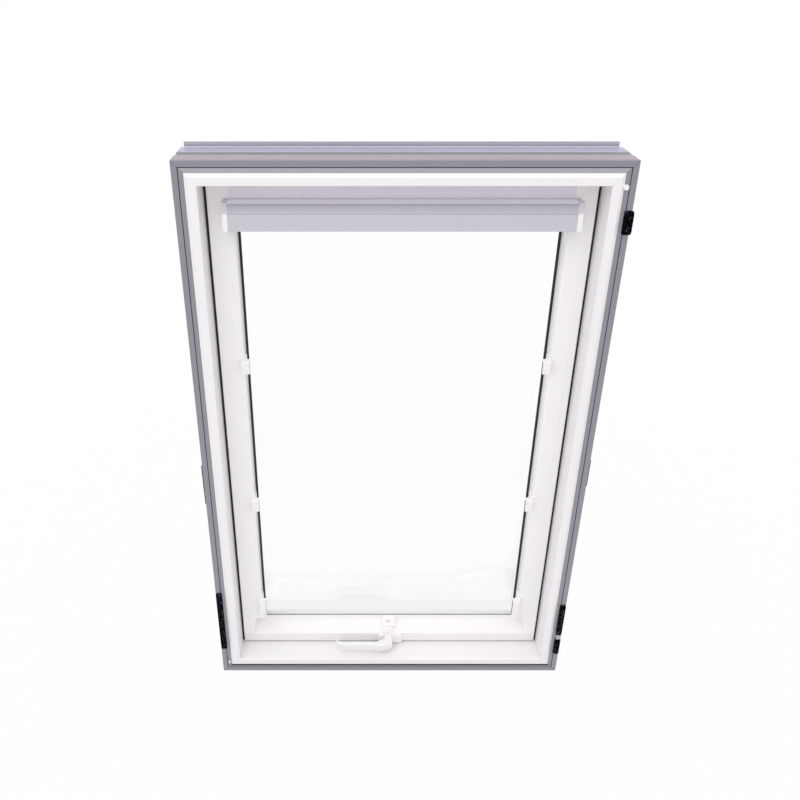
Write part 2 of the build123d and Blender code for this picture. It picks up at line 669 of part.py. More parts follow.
def lever():
    """The lever: its plan and its front outline intersected, with a collar in the base plate."""
    back = LEVER_FRONT + LEVER_THICKNESS
    seat = SASH_FACE - BASE_SIZE[2] - HUB_GAP
    end = HANDLE_X - LEVER_REACH
    left = HANDLE_X - HUB_RADIUS
    right = HANDLE_X + HUB_RADIUS
    bend = (HANDLE_X - NECK_BEND, y_at(LEVER_FRONT))
    corner = (right, y_at(LEVER_FRONT + NECK_FALL))
    plan = outline([(end, y_at(LEVER_FRONT)), bend, corner, (right, y_at(seat)), (left, y_at(seat)),
                    (left, y_at(back + NECK_BACK[1])), (HANDLE_X - NECK_BACK[0], y_at(back)),
                    (end, y_at(back))])
    plan = rounded(rounded(plan, bend, NECK_BEND_ROUND), corner, NECK_ROUND)
    half = LEVER_HEIGHT / 2
    front = outline([(end, half), (right, HUB_RADIUS), (right, -HUB_RADIUS),
                     (HANDLE_X - NECK_TOP, -HUB_RADIUS), (HANDLE_X - GRIP_START, -half),
                     (end + LEVER_SLANT, -half)])
    front = rounded(rounded(front, (end + LEVER_SLANT, -half), NECK_ROUND), (end, half), LEVER_TIP_ROUND)
    front = rounded(rounded(front, (right, HUB_RADIUS), NECK_ROUND), (right, -HUB_RADIUS), NECK_ROUND)
    facing = Plane(origin=(0, 0, HANDLE_Z), x_dir=(1, 0, 0), z_dir=(0, -1, 0))
    body = extrude(Pos(0, 0, HANDLE_Z) * plan, LEVER_HEIGHT, both=True)
    body &= extrude(facing * front, DEEPEST, both=True)
    body = fillet(body.faces().sort_by(Axis.Y)[0].edges(), LEVER_EDGE)
    collar = rod_y(HANDLE_X, (seat, seat + HUB_GAP + COLLAR_LENGTH), HANDLE_Z, COLLAR_RADIUS)
    return body + collar


def spindle_bar(depth):
    """The square spindle between two depths."""
    half = SPINDLE_SIDE / 2
    return box((HANDLE_X - half, HANDLE_X + half), depth, (HANDLE_Z - half, HANDLE_Z + half))


def crank_point(turn):
    """Centre of the crank pin after the handle has turned, in radians."""
    angle = pi / 4 - turn
    return (HANDLE_X + CRANK_RADIUS * cos(angle), HANDLE_Z + CRANK_RADIUS * sin(angle))


def handle_nodes():
    """Base plate, lever, and the square spindle with its crank."""
    seat = SASH_FACE - BASE_SIZE[2]
    socket = SASH_FACE - SPINDLE_SOCKET - BASE_SIZE[2]
    base_z = SASH_BOTTOM + BASE_SIZE[1] / 2
    plane = Plane(origin=(HANDLE_X + BASE_SHIFT, y_at(SASH_FACE), base_z), x_dir=(1, 0, 0), z_dir=(0, -1, 0))
    base = extrude(plane * RectangleRounded(BASE_SIZE[0], BASE_SIZE[1], BASE_ROUND), BASE_SIZE[2])
    base = chamfer(base.faces().sort_by(Axis.Y)[0].edges(), BASE_EDGE)
    base -= rod_y(HANDLE_X, (seat, SASH_FACE), HANDLE_Z, SPINDLE_BORE)
    base -= rod_y(HANDLE_X, (seat, seat + COLLAR_LENGTH + HUB_GAP), HANDLE_Z, COLLAR_RADIUS + RUNNING_FIT)
    x, z = crank_point(0)
    bar = spindle_bar((socket, CAM_DEPTHS[0]))
    cam = rod_y(HANDLE_X, CAM_DEPTHS, HANDLE_Z, CAM_RADIUS) + rod_y(x, CAM_DEPTHS, z, CRANK_PIN + CRANK_CHEEK)
    pin = rod_y(x, (CAM_DEPTHS[1], BOLT_DEPTHS[1]), z, CRANK_PIN)
    return {"handle_base": base, "handle_lever": lever() - spindle_bar((socket, SASH_FACE)),
            "spindle_crank": bar + cam + pin}


def bolt_slot(play, depth, z):
    """The slot that the latch bolt passes, between two depths and heights."""
    return box((HANDLE_X + BOLT_SPAN[0] - play, HANDLE_X + BOLT_SPAN[1] + play),
               (depth[0] - play, depth[1] + play), z)


def latch_nodes():
    """Latch case, latch bolt with its crank slot, and the keeper on the sill."""
    floor = (SASH_BOTTOM, SASH_BOTTOM + CASE_WALL)
    case = case_box(0) - case_box(CASE_WALL) - bolt_slot(BOLT_PLAY, BOLT_DEPTHS, floor)
    case -= rod_y(HANDLE_X, (CASE_DEPTHS[0], CASE_DEPTHS[0] + CASE_WALL), HANDLE_Z, SPINDLE_BORE)
    pin_x, pin_z = crank_point(0)
    slot_half = CRANK_PIN + CRANK_SLOT_PLAY
    far_x = HANDLE_X + CRANK_RADIUS
    bolt = bolt_slot(0, BOLT_DEPTHS, (SASH_BOTTOM + BOLT_RECESS, pin_z + slot_half + BOLT_HEAD))
    bolt -= box((pin_x - slot_half, far_x + slot_half), BOLT_DEPTHS, (pin_z - slot_half, pin_z + slot_half))
    keeper_z = (REAR_LEG_INSET, REAR_LEG_INSET + KEEPER_THICKNESS)
    keeper = box((HANDLE_X + KEEPER_SPAN[0], HANDLE_X + KEEPER_SPAN[1]), KEEPER_DEPTHS, keeper_z)
    slot = bolt_slot(KEEPER_PLAY, BOLT_DEPTHS, (REAR_LEG_INSET - FRAME_WALL, keeper_z[1]))
    screws = Part()
    for edge in (KEEPER_SPAN[0] + KEEPER_SCREW_INSET, KEEPER_SPAN[1] - KEEPER_SCREW_INSET):
        place = (HANDLE_X + edge, y_at(sum(BOLT_DEPTHS) / 2))
        screws += screw((*place, keeper_z[1] - SCREW_LENGTH), (*place, keeper_z[1]))
    return {"latch_case": case, "latch_bolt": bolt, "keeper_plate": keeper - slot - screws}, slot, screws


def button_plane():
    """The housing's sloping top at the button, with Z square to it."""
    z = ledge_z(BUTTON_DEPTH) + PAD_RISE
    return Plane(origin=(HANDLE_X, y_at(BUTTON_DEPTH), z), x_dir=(1, 0, 0), z_dir=(0, -LEDGE_SLOPE, 1))


def ledge_block(width, depth, rise):
    """A block on the sloping ledge between two depths, with its top parallel to the ledge."""
    front, back = depth
    face = outline([(front, ledge_z(front)), (front, ledge_z(front) + rise), (back, ledge_z(back) + rise),
                    (back, ledge_z(back))])
    return Pos(HANDLE_X, 0, 0) * along_x(face, width)


def housing_nodes():
    """Moulded housing on the ledge: a hollow pad with the button's well, and a stepped tongue."""
    plane = button_plane()
    front = SASH_FACE + PAD_START
    shell = ledge_block(PAD_WIDTH, (front, LEDGE_BACK), PAD_RISE)
    shell -= ledge_block(PAD_WIDTH - 2 * HOUSING_WALL, (front + HOUSING_WALL, LEDGE_BACK),
                         PAD_RISE - HOUSING_WALL)
    for start, end, rise in TONGUE_STEPS:
        shell += ledge_block(TONGUE_WIDTH, (SASH_FACE + start, SASH_FACE + end), rise)
    deep = BUTTON_WELL + BUTTON_WELL_FLOOR
    boss = plane * (Pos(0, 0, -deep / 2) * Cylinder(BUTTON_RADIUS + BUTTON_BOSS_WALL, deep))
    well = plane * (Pos(0, 0, -BUTTON_WELL / 2) * Cylinder(BUTTON_RADIUS + BUTTON_PLAY, BUTTON_WELL))
    pill = Pos(0, 0, BUTTON_PROUD - BUTTON_LENGTH / 2) * Cylinder(BUTTON_RADIUS, BUTTON_LENGTH)
    pill = chamfer(pill.edges().group_by(Axis.Z)[-1], BUTTON_EDGE)
    return {"latch_housing": shell + boss - well, "latch_button": plane * pill}


def cove_points():
    """Outer corners of the blind's cassette in (depth, Z), from the lip to the cove's foot."""
    front = BLIND_FRONT
    return (front, BLIND_TOP), (front, BLIND_TOP - BLIND_SHEET), (front, COVE_BOTTOM)


def cassette_face():
    """Section of the cassette: back, top with a lip, and a hollow cove in front."""
    lip, under, foot = cove_points()
    inner_lip = (under[0] + BLIND_SHEET, under[1])
    inner_foot = (foot[0] + BLIND_SHEET, foot[1])
    deep = (under[0] + COVE_DEPTH, (under[1] + foot[1]) / 2)
    inner_deep = (deep[0] + BLIND_SHEET, deep[1])
    back = SASH_FACE
    low = BLIND_BOTTOM + BLIND_BACK_LIFT
    edges = [Polyline(lip, (back, BLIND_TOP), (back, low), (back - BLIND_SHEET, low),
                      (back - BLIND_SHEET, under[1]), inner_lip),
             ThreePointArc(inner_lip, inner_deep, inner_foot), Line(inner_foot, foot),
             ThreePointArc(foot, deep, under), Line(under, lip)]
    return make_face(edges)


def cap_face():
    """Section of an end cap: the cassette's outline, closed, and a little proud."""
    lip, under, foot = cove_points()
    deep = (under[0] + COVE_DEPTH - CAP_PROUD, (under[1] + foot[1]) / 2)
    front = BLIND_FRONT - CAP_PROUD
    top = BLIND_TOP + CAP_PROUD
    edges = [Polyline((front, under[1]), (front, top), (SASH_FACE, top), (SASH_FACE, BLIND_BOTTOM),
                      (front, BLIND_BOTTOM), (front, foot[1])),
             ThreePointArc((front, foot[1]), deep, (front, under[1]))]
    return make_face(edges)


def roller_rod(x, radius):
    """A round rod on the roller's axis between two X limits."""
    return rod_x(x, ROLLER_DEPTH, ROLLER_Z, radius)


def blind_nodes():
    """Cassette, end caps, roller with its cloth and plugs, and the pull bar."""
    nodes = {"blind_cassette": along_x(cassette_face(), 2 * BLIND_HALF_WIDTH)}
    plugs = Part()
    for side, name in ((-1, "left"), (1, "right")):
        inner = side * BLIND_HALF_WIDTH
        cap = Pos(inner + side * CAP_WIDTH / 2, 0, 0) * along_x(cap_face(), CAP_WIDTH)
        bore = roller_rod((inner, inner + side * PLUG_PIN_BORE), PLUG_PIN_RADIUS + RUNNING_FIT)
        nodes["blind_cap_" + name] = cap - bore
        tube_end = side * (BLIND_HALF_WIDTH - TUBE_END_GAP)
        pin = roller_rod((tube_end, inner + side * (PLUG_PIN_BORE - PLUG_PIN_GAP)), PLUG_PIN_RADIUS)
        flange = roller_rod((tube_end, tube_end + side * PLUG_FLANGE), TUBE_RADIUS)
        stub = roller_rod((tube_end, tube_end - side * PLUG_STUB), TUBE_RADIUS - TUBE_WALL)
        plugs += pin + flange + stub
    half_tube = BLIND_HALF_WIDTH - TUBE_END_GAP
    half_roll = BLIND_HALF_WIDTH - ROLL_END_GAP
    tube = (-half_tube, half_tube)
    roll = (-half_roll, half_roll)
    nodes["blind_tube"] = roller_rod(tube, TUBE_RADIUS) - roller_rod(tube, TUBE_RADIUS - TUBE_WALL)
    nodes["blind_tube_plugs"] = plugs
    nodes["blind_cloth_roll"] = roller_rod(roll, ROLL_RADIUS) - roller_rod(roll, TUBE_RADIUS)
    cloth_back = ROLLER_DEPTH - ROLL_RADIUS - BAR_GAP
    cloth = (cloth_back - CLOTH_THICKNESS, cloth_back)
    foot_top = BLIND_BOTTOM + BAR_PLATE
    nodes["blind_cloth"] = box(roll, cloth, (foot_top, ROLLER_Z))
    bar_half = BLIND_HALF_WIDTH - BAR_GAP
    plate = box((-bar_half, bar_half), (BLIND_FRONT, BLIND_FRONT + BAR_PLATE),
                (BLIND_BOTTOM, COVE_BOTTOM - BAR_GAP))
    plate = fillet(plate.edges().filter_by(Axis.X).group_by(Axis.Y)[0], BAR_EDGE)
    back = (BLIND_FRONT + BAR_PLATE, BLIND_FRONT + BAR_FOOT)
    foot = box((-bar_half, bar_half), back, (BLIND_BOTTOM, foot_top))
    clamp = box((-bar_half, bar_half), (cloth[0] - BAR_CLAMP, cloth[1] + BAR_CLAMP),
                (foot_top, foot_top + BAR_CLAMP_HEIGHT)) - nodes["blind_cloth"]
    nodes["blind_pull_bar"] = plate + foot + clamp
    return nodes


def hook(side, rise, height):
    """One blind hook: a leg on the stile's inner wall, a plate, and a nose that turns down."""
    low = SASH_BOTTOM + rise - height / 2
    high = low + height
    plate_width, plate_wall = HOOK_PLATE
    nose_width, nose_reach, nose_wall = HOOK_NOSE
    tip_drop, tip_wall = HOOK_TIP
    face = SASH_FACE - plate_wall
    across = (STILE_WALL - nose_width / 2, STILE_WALL + nose_width / 2)
    leg = box((STILE_WALL - HOOK_LEG_WALL, STILE_WALL), (SASH_FACE, SASH_FACE + HOOK_LEG),
              (low + HOOK_ROUND, high - HOOK_ROUND))
    plate = box((STILE_WALL - plate_width / 2, STILE_WALL + plate_width / 2), (face, SASH_FACE), (low, high))
    plate = fillet(plate.edges().filter_by(Axis.Y), HOOK_ROUND)
    top = high - HOOK_ROUND
    nose = box(across, (face - nose_reach, SASH_FACE), (top - nose_wall, top))
    nose += box(across, (face - nose_reach, face - nose_reach + tip_wall), (top - tip_drop, top))
    front_edges = nose.edges().filter_by(Axis.X).group_by(Axis.Y)[0]
    shape = leg + plate + fillet(front_edges.sort_by(Axis.Z)[-1], HOOK_NOSE_ROUND)
    return shape if side > 0 else mirror(shape, Plane.YZ)


def side_block(side, span, ribs, overhang=0.0):
    """A black moulded block clipped into the groove of the frame's outer strip."""
    edge = WINDOW_WIDTH / 2
    groove = edge - OUTER_STRIP
    face = RectangleRounded(BLOCK_WIDTH + overhang, span[1] - span[0], BLOCK_ROUND)
    middle = (edge + (overhang - BLOCK_WIDTH) / 2, y_at(0), sum(span) / 2)
    block = extrude(Plane(origin=middle, x_dir=(1, 0, 0), z_dir=(0, -1, 0)) * face, BLOCK_PROUD)
    block = chamfer(block.faces().sort_by(Axis.Y)[0].edges(), BLOCK_EDGE)
    leg = (span[0] + BLOCK_ROUND, span[1] - BLOCK_ROUND)
    block += box((groove - GROOVE_WIDTH, groove), (0, BLOCK_LEG), leg)
    for index in range(ribs):
        z = span[0] + NOTCH_PITCH * (index + 1)
        block -= box((edge - NOTCH_SIZE / 2, edge), (-BLOCK_PROUD, -BLOCK_PROUD + NOTCH_DEPTH),
                     (z - NOTCH_SIZE / 2, z + NOTCH_SIZE / 2))
    return block if side > 0 else mirror(block, Plane.YZ)


def trim_nodes():
    """Side blocks, ring, clip and white caps on the frame's room face."""
    edge = WINDOW_WIDTH / 2
    nodes = {"side_block_left": side_block(-1, LEFT_BLOCK, 5),
             "side_block_right_lower": side_block(1, RIGHT_LOWER_BLOCK, 1),
             "side_block_right_upper": side_block(1, RIGHT_UPPER_BLOCK, 2)}
    ring_z = (RIGHT_LOWER_BLOCK[1], RIGHT_UPPER_BLOCK[0])
    across = (edge - BLOCK_WIDTH + RING_MARGIN, edge - RING_MARGIN)
    ring = box(across, (-BLOCK_PROUD + RING_RECESS, 0), ring_z)
    nodes["side_block_ring"] = chamfer(ring.edges().filter_by(Axis.Z).group_by(Axis.Y)[0], BLOCK_EDGE)
    clip_z = (WINDOW_HEIGHT - CLIP_DROP[1], WINDOW_HEIGHT - CLIP_DROP[0])
    clip = side_block(1, clip_z, 0, CLIP_OVERHANG)
    wrap_z = (clip_z[0] + BLOCK_ROUND, clip_z[1] - BLOCK_ROUND)
    clip += box((edge, edge + CLIP_OVERHANG), (0, CLIP_WRAP), wrap_z)
    slot_width, slot_length, slot_depth = CLIP_SLOT
    slot_z = (sum(clip_z) / 2 - slot_length / 2, sum(clip_z) / 2 + slot_length / 2)
    slot_floor = (-BLOCK_PROUD, -BLOCK_PROUD + slot_depth)
    for step in (-1, 1):
        x = edge + (CLIP_OVERHANG - BLOCK_WIDTH + step * CLIP_SLOT_PITCH) / 2
        clip -= box((x - slot_width / 2, x + slot_width / 2), slot_floor, slot_z)
    nodes["frame_clip"] = clip
    inset, drop = WHITE_CAP_PLACE
    radius, height = WHITE_CAP_SIZE
    caps = rod_y(edge - inset, (-height, 0), WINDOW_HEIGHT - drop, radius)
    inset, rise = CORNER_CAP_PLACE
    radius, height = CORNER_CAP_SIZE
    nodes["white_caps"] = Part() + caps + rod_y(inset - edge, (-height, 0), rise, radius)
    return nodes


def bracket_nodes():
    """Folded fixing brackets at mid height on both sides, and their screws.

    The foot lies on the frame's side up to its front edge, and the arm stands out behind.
    """
    brackets = Part()
    screws = Part()
    edge = WINDOW_WIDTH / 2
    for side, drop in ((-1, BRACKET_LEFT_DROP), (1, BRACKET_RIGHT_DROP)):
        z = PIVOT_Z - drop
        span = (z - BRACKET_HEIGHT / 2, z + BRACKET_HEIGHT / 2)
        sheet = (BRACKET_BACK - BRACKET_SHEET, BRACKET_BACK)
        hole_x = edge + BRACKET_REACH - BRACKET_HOLE_INSET
        foot = box((edge, edge + BRACKET_SHEET), (BRACKET_BACK - BRACKET_FOOT, BRACKET_BACK), span)
        arm = box((edge, edge + BRACKET_REACH), sheet, span)
        shape = foot + arm
        for up in (-1, 1):
            shape -= rod_y(hole_x, sheet, z + up * BRACKET_HOLE_PITCH / 2, BRACKET_HOLE_RADIUS)
        shape = shape if side > 0 else mirror(shape, Plane.YZ)
        for up in (-1, 1):
            place = (y_at(BRACKET_SCREW_DEPTH), z + up * BRACKET_HOLE_PITCH / 2)
            screws += screw((side * (edge + BRACKET_SHEET - SCREW_LENGTH), *place),
                            (side * (edge + BRACKET_SHEET), *place))
        brackets += shape
    return {"side_brackets": brackets - screws}, screws


def build():
    """Every node by name."""
    nodes = frame_nodes()
    nodes.update(cover_nodes())
    hinges, hinge_screws, sash_screws = hinge_nodes()
    nodes.update(hinges)
    nodes.update(sash_nodes(sash_screws))
    nodes.update(glazing_nodes())
    nodes.update(handle_nodes())
    latch, slot, keeper_screws = latch_nodes()
    nodes.update(latch)
    nodes.update(housing_nodes())
    nodes.update(blind_nodes())
    hooks = Part()
    for rise, height in HOOKS:
        hooks += hook(-1, rise, height)
        hooks += hook(1, rise, height)
    nodes["blind_hooks"] = hooks
    nodes.update(trim_nodes())
    brackets, bracket_screws = bracket_nodes()
    nodes.update(brackets)
    nodes["frame_sill"] = nodes["frame_sill"] - slot - keeper_screws
    for side in ("left", "right"):
        nodes["frame_jamb_" + side] = nodes["frame_jamb_" + side] - hinge_screws - bracket_screws
        nodes["liner_jamb_" + side] = nodes["liner_jamb_" + side] - nodes["white_caps"]
    nodes["frame_screws"] = Part() + hinge_screws + bracket_screws + keeper_screws
    nodes["sash_hinge_screws"] = sash_screws
    return nodes


def main():
    """Write each node to its own file."""
    os.makedirs("parts", exist_ok=True)
    for name, shape in build().items():
        export_step(shape, f"parts/{name}.step")


main()
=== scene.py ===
"""Centre-pivot roof window with a roller blind: finishes, moulded parts and cloth.

Lengths are in metres. X runs across the window, Z up it, and Y from the room to the
weather side. A depth is measured from the room face of the aluminium frame.
"""
import json
from math import pi, radians

import bmesh
import bpy
import numpy as np
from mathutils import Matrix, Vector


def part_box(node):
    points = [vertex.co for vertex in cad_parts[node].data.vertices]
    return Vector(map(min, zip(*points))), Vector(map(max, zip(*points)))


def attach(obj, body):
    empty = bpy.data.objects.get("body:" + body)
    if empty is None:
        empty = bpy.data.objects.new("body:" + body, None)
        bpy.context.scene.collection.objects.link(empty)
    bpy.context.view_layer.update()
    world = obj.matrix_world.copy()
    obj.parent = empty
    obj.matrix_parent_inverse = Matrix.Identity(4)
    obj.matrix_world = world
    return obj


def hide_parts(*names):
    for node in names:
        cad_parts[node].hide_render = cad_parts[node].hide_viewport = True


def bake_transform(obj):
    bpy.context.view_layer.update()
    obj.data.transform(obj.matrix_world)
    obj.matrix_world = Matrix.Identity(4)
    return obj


bl_info = {
    "name": "Roof window",
    "version": (1, 0, 0),
    "blender": (4, 5, 0),
    "location": "3D View > Sidebar > Roof window",
    "description": "Finishes, moulded parts and blind cloth of a centre-pivot roof window",
    "category": "Add Mesh",
}

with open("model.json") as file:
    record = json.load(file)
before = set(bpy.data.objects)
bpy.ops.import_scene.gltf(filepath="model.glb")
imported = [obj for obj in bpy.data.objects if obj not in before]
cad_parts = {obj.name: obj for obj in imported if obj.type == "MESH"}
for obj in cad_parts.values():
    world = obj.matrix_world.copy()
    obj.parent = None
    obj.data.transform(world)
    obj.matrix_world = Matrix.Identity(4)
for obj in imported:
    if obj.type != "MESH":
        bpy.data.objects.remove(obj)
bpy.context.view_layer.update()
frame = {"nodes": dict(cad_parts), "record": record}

MM = 0.001
FRAME_FACE_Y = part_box("frame_sill")[0].y
FRAME_LOW, FRAME_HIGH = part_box("frame_jamb_left")
HALF_WIDTH = -FRAME_LOW.x
HEIGHT = FRAME_HIGH.z

# Bands of painted reflection along the profiles' outer faces: start, end and softness
# in mm of depth, and share.
COOL_REFLECTION_BANDS = ((64, 112, 2, 1.0),)
WARM_REFLECTION_BANDS = ((31, 38, 1.5, 1.0), (10, 23, 1.5, 0.6))
DARK_REFLECTION_BANDS = ((44, 60, 2, 0.8), (24, 29, 1, 0.6), (1, 9, 1.5, 0.6))

# Shares of the lever's points at which its grip and its bend end.
GRIP_END, BEND_END = 0.7, 0.88


def linear(red, green, blue):
    """A screen colour from 0 to 255 as linear light: (c / 255 + 0.055) / 1.055 to the 2.4."""
    return tuple(((c / 255 + 0.055) / 1.055) ** 2.4 for c in (red, green, blue))


# Tones of single features and of the parts that have one colour.
# Painted highlight along the aluminium profiles' rear edge, under the head cover.
PROFILE_REAR_HIGHLIGHT = linear(228, 228, 238)
# Painted shade, tinted lavender, on the sash rail above the blind.
RAIL_SHADE_ABOVE_BLIND = linear(233, 230, 241)
PALE_RUBBER = linear(238, 237, 239)
# Painted sheen on the head cover's lip, and a painted highlight along its foot.
LIP_PAINTED_SHEEN = linear(200, 193, 203)
LIP_FOOT_HIGHLIGHT = linear(226, 225, 231)
# Painted glints, bluish, on the black mouldings.
BLOCK_PAINTED_GLINT = linear(92, 88, 110)
# Painted shade on the blind caps' upper part, under the frame's head.
CAP_UPPER_SHADE = linear(208, 205, 210)
# Painted light on the blind casing's top, painted shade at its rear and in its hollow.
CASING_TOP_LIGHT = linear(251, 250, 254)
CASING_REAR_SHADE = linear(199, 198, 206)
CASING_HOLLOW_SHADE = linear(173, 167, 182)
GLASS_TINT = linear(251, 250, 251)
SPACER_METAL = linear(250, 250, 250)
SPACER_HOLE = (0.02, 0.02, 0.02)
BEARING_PLASTIC = linear(214, 210, 200)
# Painted shade: the button is greyer than the pad, for the shade in its well.
BUTTON_SHADE = linear(236, 234, 237)
BRACKET_STEEL = linear(48, 48, 52)


def colour_property(name, description, default):
    """A colour that the user can change."""
    return bpy.props.FloatVectorProperty(name=name, description=description, subtype="COLOR",
                                         default=linear(*default), size=3, min=0, max=1)


def length_property(name, description, default):
    """A length that the user can change, given in millimetres."""
    return bpy.props.FloatProperty(name=name, description=description, default=default * MM,
                                   unit="LENGTH", min=0, precision=4)


class RoofWindowColours(bpy.types.PropertyGroup):
    """Colours of the finishes that the user can change."""
    aluminium: colour_property("Aluminium", "Anodised frame profiles", (146, 144, 152))
    # The cool and warm colours are of painted reflection bands on the frame's outer faces.
    aluminium_cool_reflection: colour_property("Cool band", "Bluish bands on the frame's outer faces",
                                    (178, 179, 203))
    aluminium_warm_reflection: colour_property("Warm band", "Pinkish bands on the frame's outer faces",
                                    (200, 172, 186))
    lining: colour_property("Lining", "White lining boards", (244, 243, 243))
    sash: colour_property("Sash", "White lacquer of the sash", (249, 248, 248))
    rubber: colour_property("Rubber", "Gaskets and seals", (30, 29, 30))
    cover: colour_property("Covers", "Coated sheet on the weather side", (180, 178, 184))
    steel: colour_property("Steel", "Zinc-plated plates and screws", (176, 178, 182))
    black: colour_property("Black plastic", "Side blocks and clip", (9, 8, 12))
    white: colour_property("White plastic", "Caps, hooks and latch pad", (248, 247, 248))
    handle: colour_property("Handle", "Coating of the lever and its base", (243, 242, 242))
    blind: colour_property("Blind casing", "Anodised cassette and pull bar", (207, 208, 215))
    cloth: colour_property("Blind cloth", "Woven cloth of the roller blind", (214, 211, 214))
    floor: colour_property("Floor", "Studio floor", (205, 205, 206))


class RoofWindowSizes(bpy.types.PropertyGroup):
    """Sizes of the moulded parts and the cloth."""
    lever_edge: bpy.props.FloatProperty(
        name="Lever edge", description="Squareness of the lever's section, from 2 for round",
        default=3.2, min=2, max=8)
    plastic_edge: length_property("Plastic edge", "Rounding of moulded edges", 1.0)
    rib_pitch: length_property("Rib pitch", "Spacing of the ribs on the side blocks", 14.0)
    thread_pitch: length_property("Thread pitch", "Spacing of the blind cloth's threads", 0.9)
    cloth_thickness: length_property("Cloth thickness", "Thickness of the blind cloth", 0.4)


class Field:
    """A socket of a node tree. Python's operators on it add Math nodes."""

    def __init__(self, tree, socket):
        self.tree = tree
        self.socket = socket

    def __add__(self, other):
        return self.tree.math("ADD", self, other)

    def __sub__(self, other):
        return self.tree.math("SUBTRACT", self, other)

    def __rsub__(self, other):
        return self.tree.math("SUBTRACT", other, self)

    def __mul__(self, other):
        return self.tree.math("MULTIPLY", self, other)

    def __truediv__(self, other):
        return self.tree.math("DIVIDE", self, other)

    def __abs__(self):
        return self.tree.math("ABSOLUTE", self)

    def __lt__(self, other):
        return self.tree.math("LESS_THAN", self, other)

    def __gt__(self, other):
        return self.tree.math("GREATER_THAN", self, other)

    __radd__ = __add__
    __rmul__ = __mul__


class Tree:
    """A node tree that is filled with expressions."""

    def __init__(self, node_tree):
        self.nodes = node_tree.nodes
        self.links = node_tree.links
        self.nodes.clear()

    def fill(self, target, value):
        """Link a field to a socket, or set the socket to a value or a colour."""
        if isinstance(value, Field):
            self.links.new(value.socket, target)
        elif target.type == "RGBA":
            target.default_value = (*value, 1)
        else:
            target.default_value = value

    def node(self, kind, settings=None, inputs=None, output=0):
        """Add one node: settings first, then the values or links of its sockets."""
        node = self.nodes.new(kind)
        for key, value in (settings or {}).items():
            setattr(node, key, value)
        for key, value in (inputs or {}).items():
            self.fill(node.inputs[key], value)
        return Field(self, node.outputs[output])

    def math(self, operation, *values):
        """A Math node on values or sockets."""
        return self.node("ShaderNodeMath", {"operation": operation}, dict(enumerate(values)))

    def between(self, value, low, high):
        """0 below low, 1 above high, and smooth between them."""
        return self.node("ShaderNodeMapRange", {"interpolation_type": "SMOOTHSTEP"},
                         {"Value": value, "From Min": low, "From Max": high})

    def band(self, value, start, end, soft):
        """1 from start to end, with soft edges."""
        begun = self.between(value, start - soft, start + soft)
        return begun * (1 - self.between(value, end - soft, end + soft))

    def bands(self, value, rows):
        """The sum of several bands. A row is start, end and softness in mm, and a share."""
        return sum(self.band(value, start * MM, end * MM, soft * MM) * share
                   for start, end, soft, share in rows)

    def mix(self, factor, first, second):
        """A colour between two colours."""
        inputs = {0: factor, 6: first, 7: second}
        return self.node("ShaderNodeMix", {"data_type": "RGBA"}, inputs, 2)

    def vector(self, x, y, z):
        """Three values as one vector."""
        return self.node("ShaderNodeCombineXYZ", None, {0: x, 1: y, 2: z})

    def noise(self, place, scale, detail=2.0, roughness=0.5):
        """Noise from 0 to 1 at a place."""
        inputs = {"Vector": place, "Scale": scale, "Detail": detail, "Roughness": roughness}
        return self.node("ShaderNodeTexNoise", None, inputs)


class Finish(Tree):
    """A material with one Principled shader, read from the piece's own coordinates."""

    def __init__(self, name, **sockets):
        self.material = bpy.data.materials.new(f"{name} finish")
        self.material.use_nodes = True
        super().__init__(self.material.node_tree)
        self.shader = self.nodes.new("ShaderNodeBsdfPrincipled")
        self.output = self.nodes.new("ShaderNodeOutputMaterial")
        self.links.new(self.shader.outputs[0], self.output.inputs[0])
        for key, value in sockets.items():
            self.give(key.replace("_", " "), value)

    def give(self, socket, value):
        """Set a socket of the shader to a value, or link it to a field."""
        self.fill(self.shader.inputs[socket], value)

    def place(self):
        """The point on the piece, and its X, Y and Z."""
        point = self.node("ShaderNodeTexCoord", None, None, "Object")
        parts = [self.node("ShaderNodeSeparateXYZ", None, {0: point}, axis) for axis in range(3)]
        return (point, *parts)

    def pits(self, point):
        """The fine pits of a spark-eroded mould: distance from the middle of soft cells."""
        return self.node("ShaderNodeTexVoronoi", {"feature": "SMOOTH_F1"},
                         {"Vector": point, "Scale": 1500}, "Distance")

    def bump(self, height, distance, strength=1.0):
        """Link a height, in units of a distance in metres, to the shader's normal."""
        inputs = {"Height": height, "Distance": distance, "Strength": strength}
        self.give("Normal", self.node("ShaderNodeBump", None, inputs))

    def ring(self, half_width, low, high):
        """Distance in from a rectangular ring's edge, and distance from its mitre lines."""
        _, x, _, z = self.place()
        inset_x = half_width - abs(x)
        inset_z = self.math("MINIMUM", z - low, high - z)
        inset = self.math("MINIMUM", inset_x, inset_z)
        return inset, abs(inset_x - inset_z)


def lighter(colour, factor):
    """A colour times a factor, kept in range."""
    return tuple(min(1.0, c * factor) for c in colour)


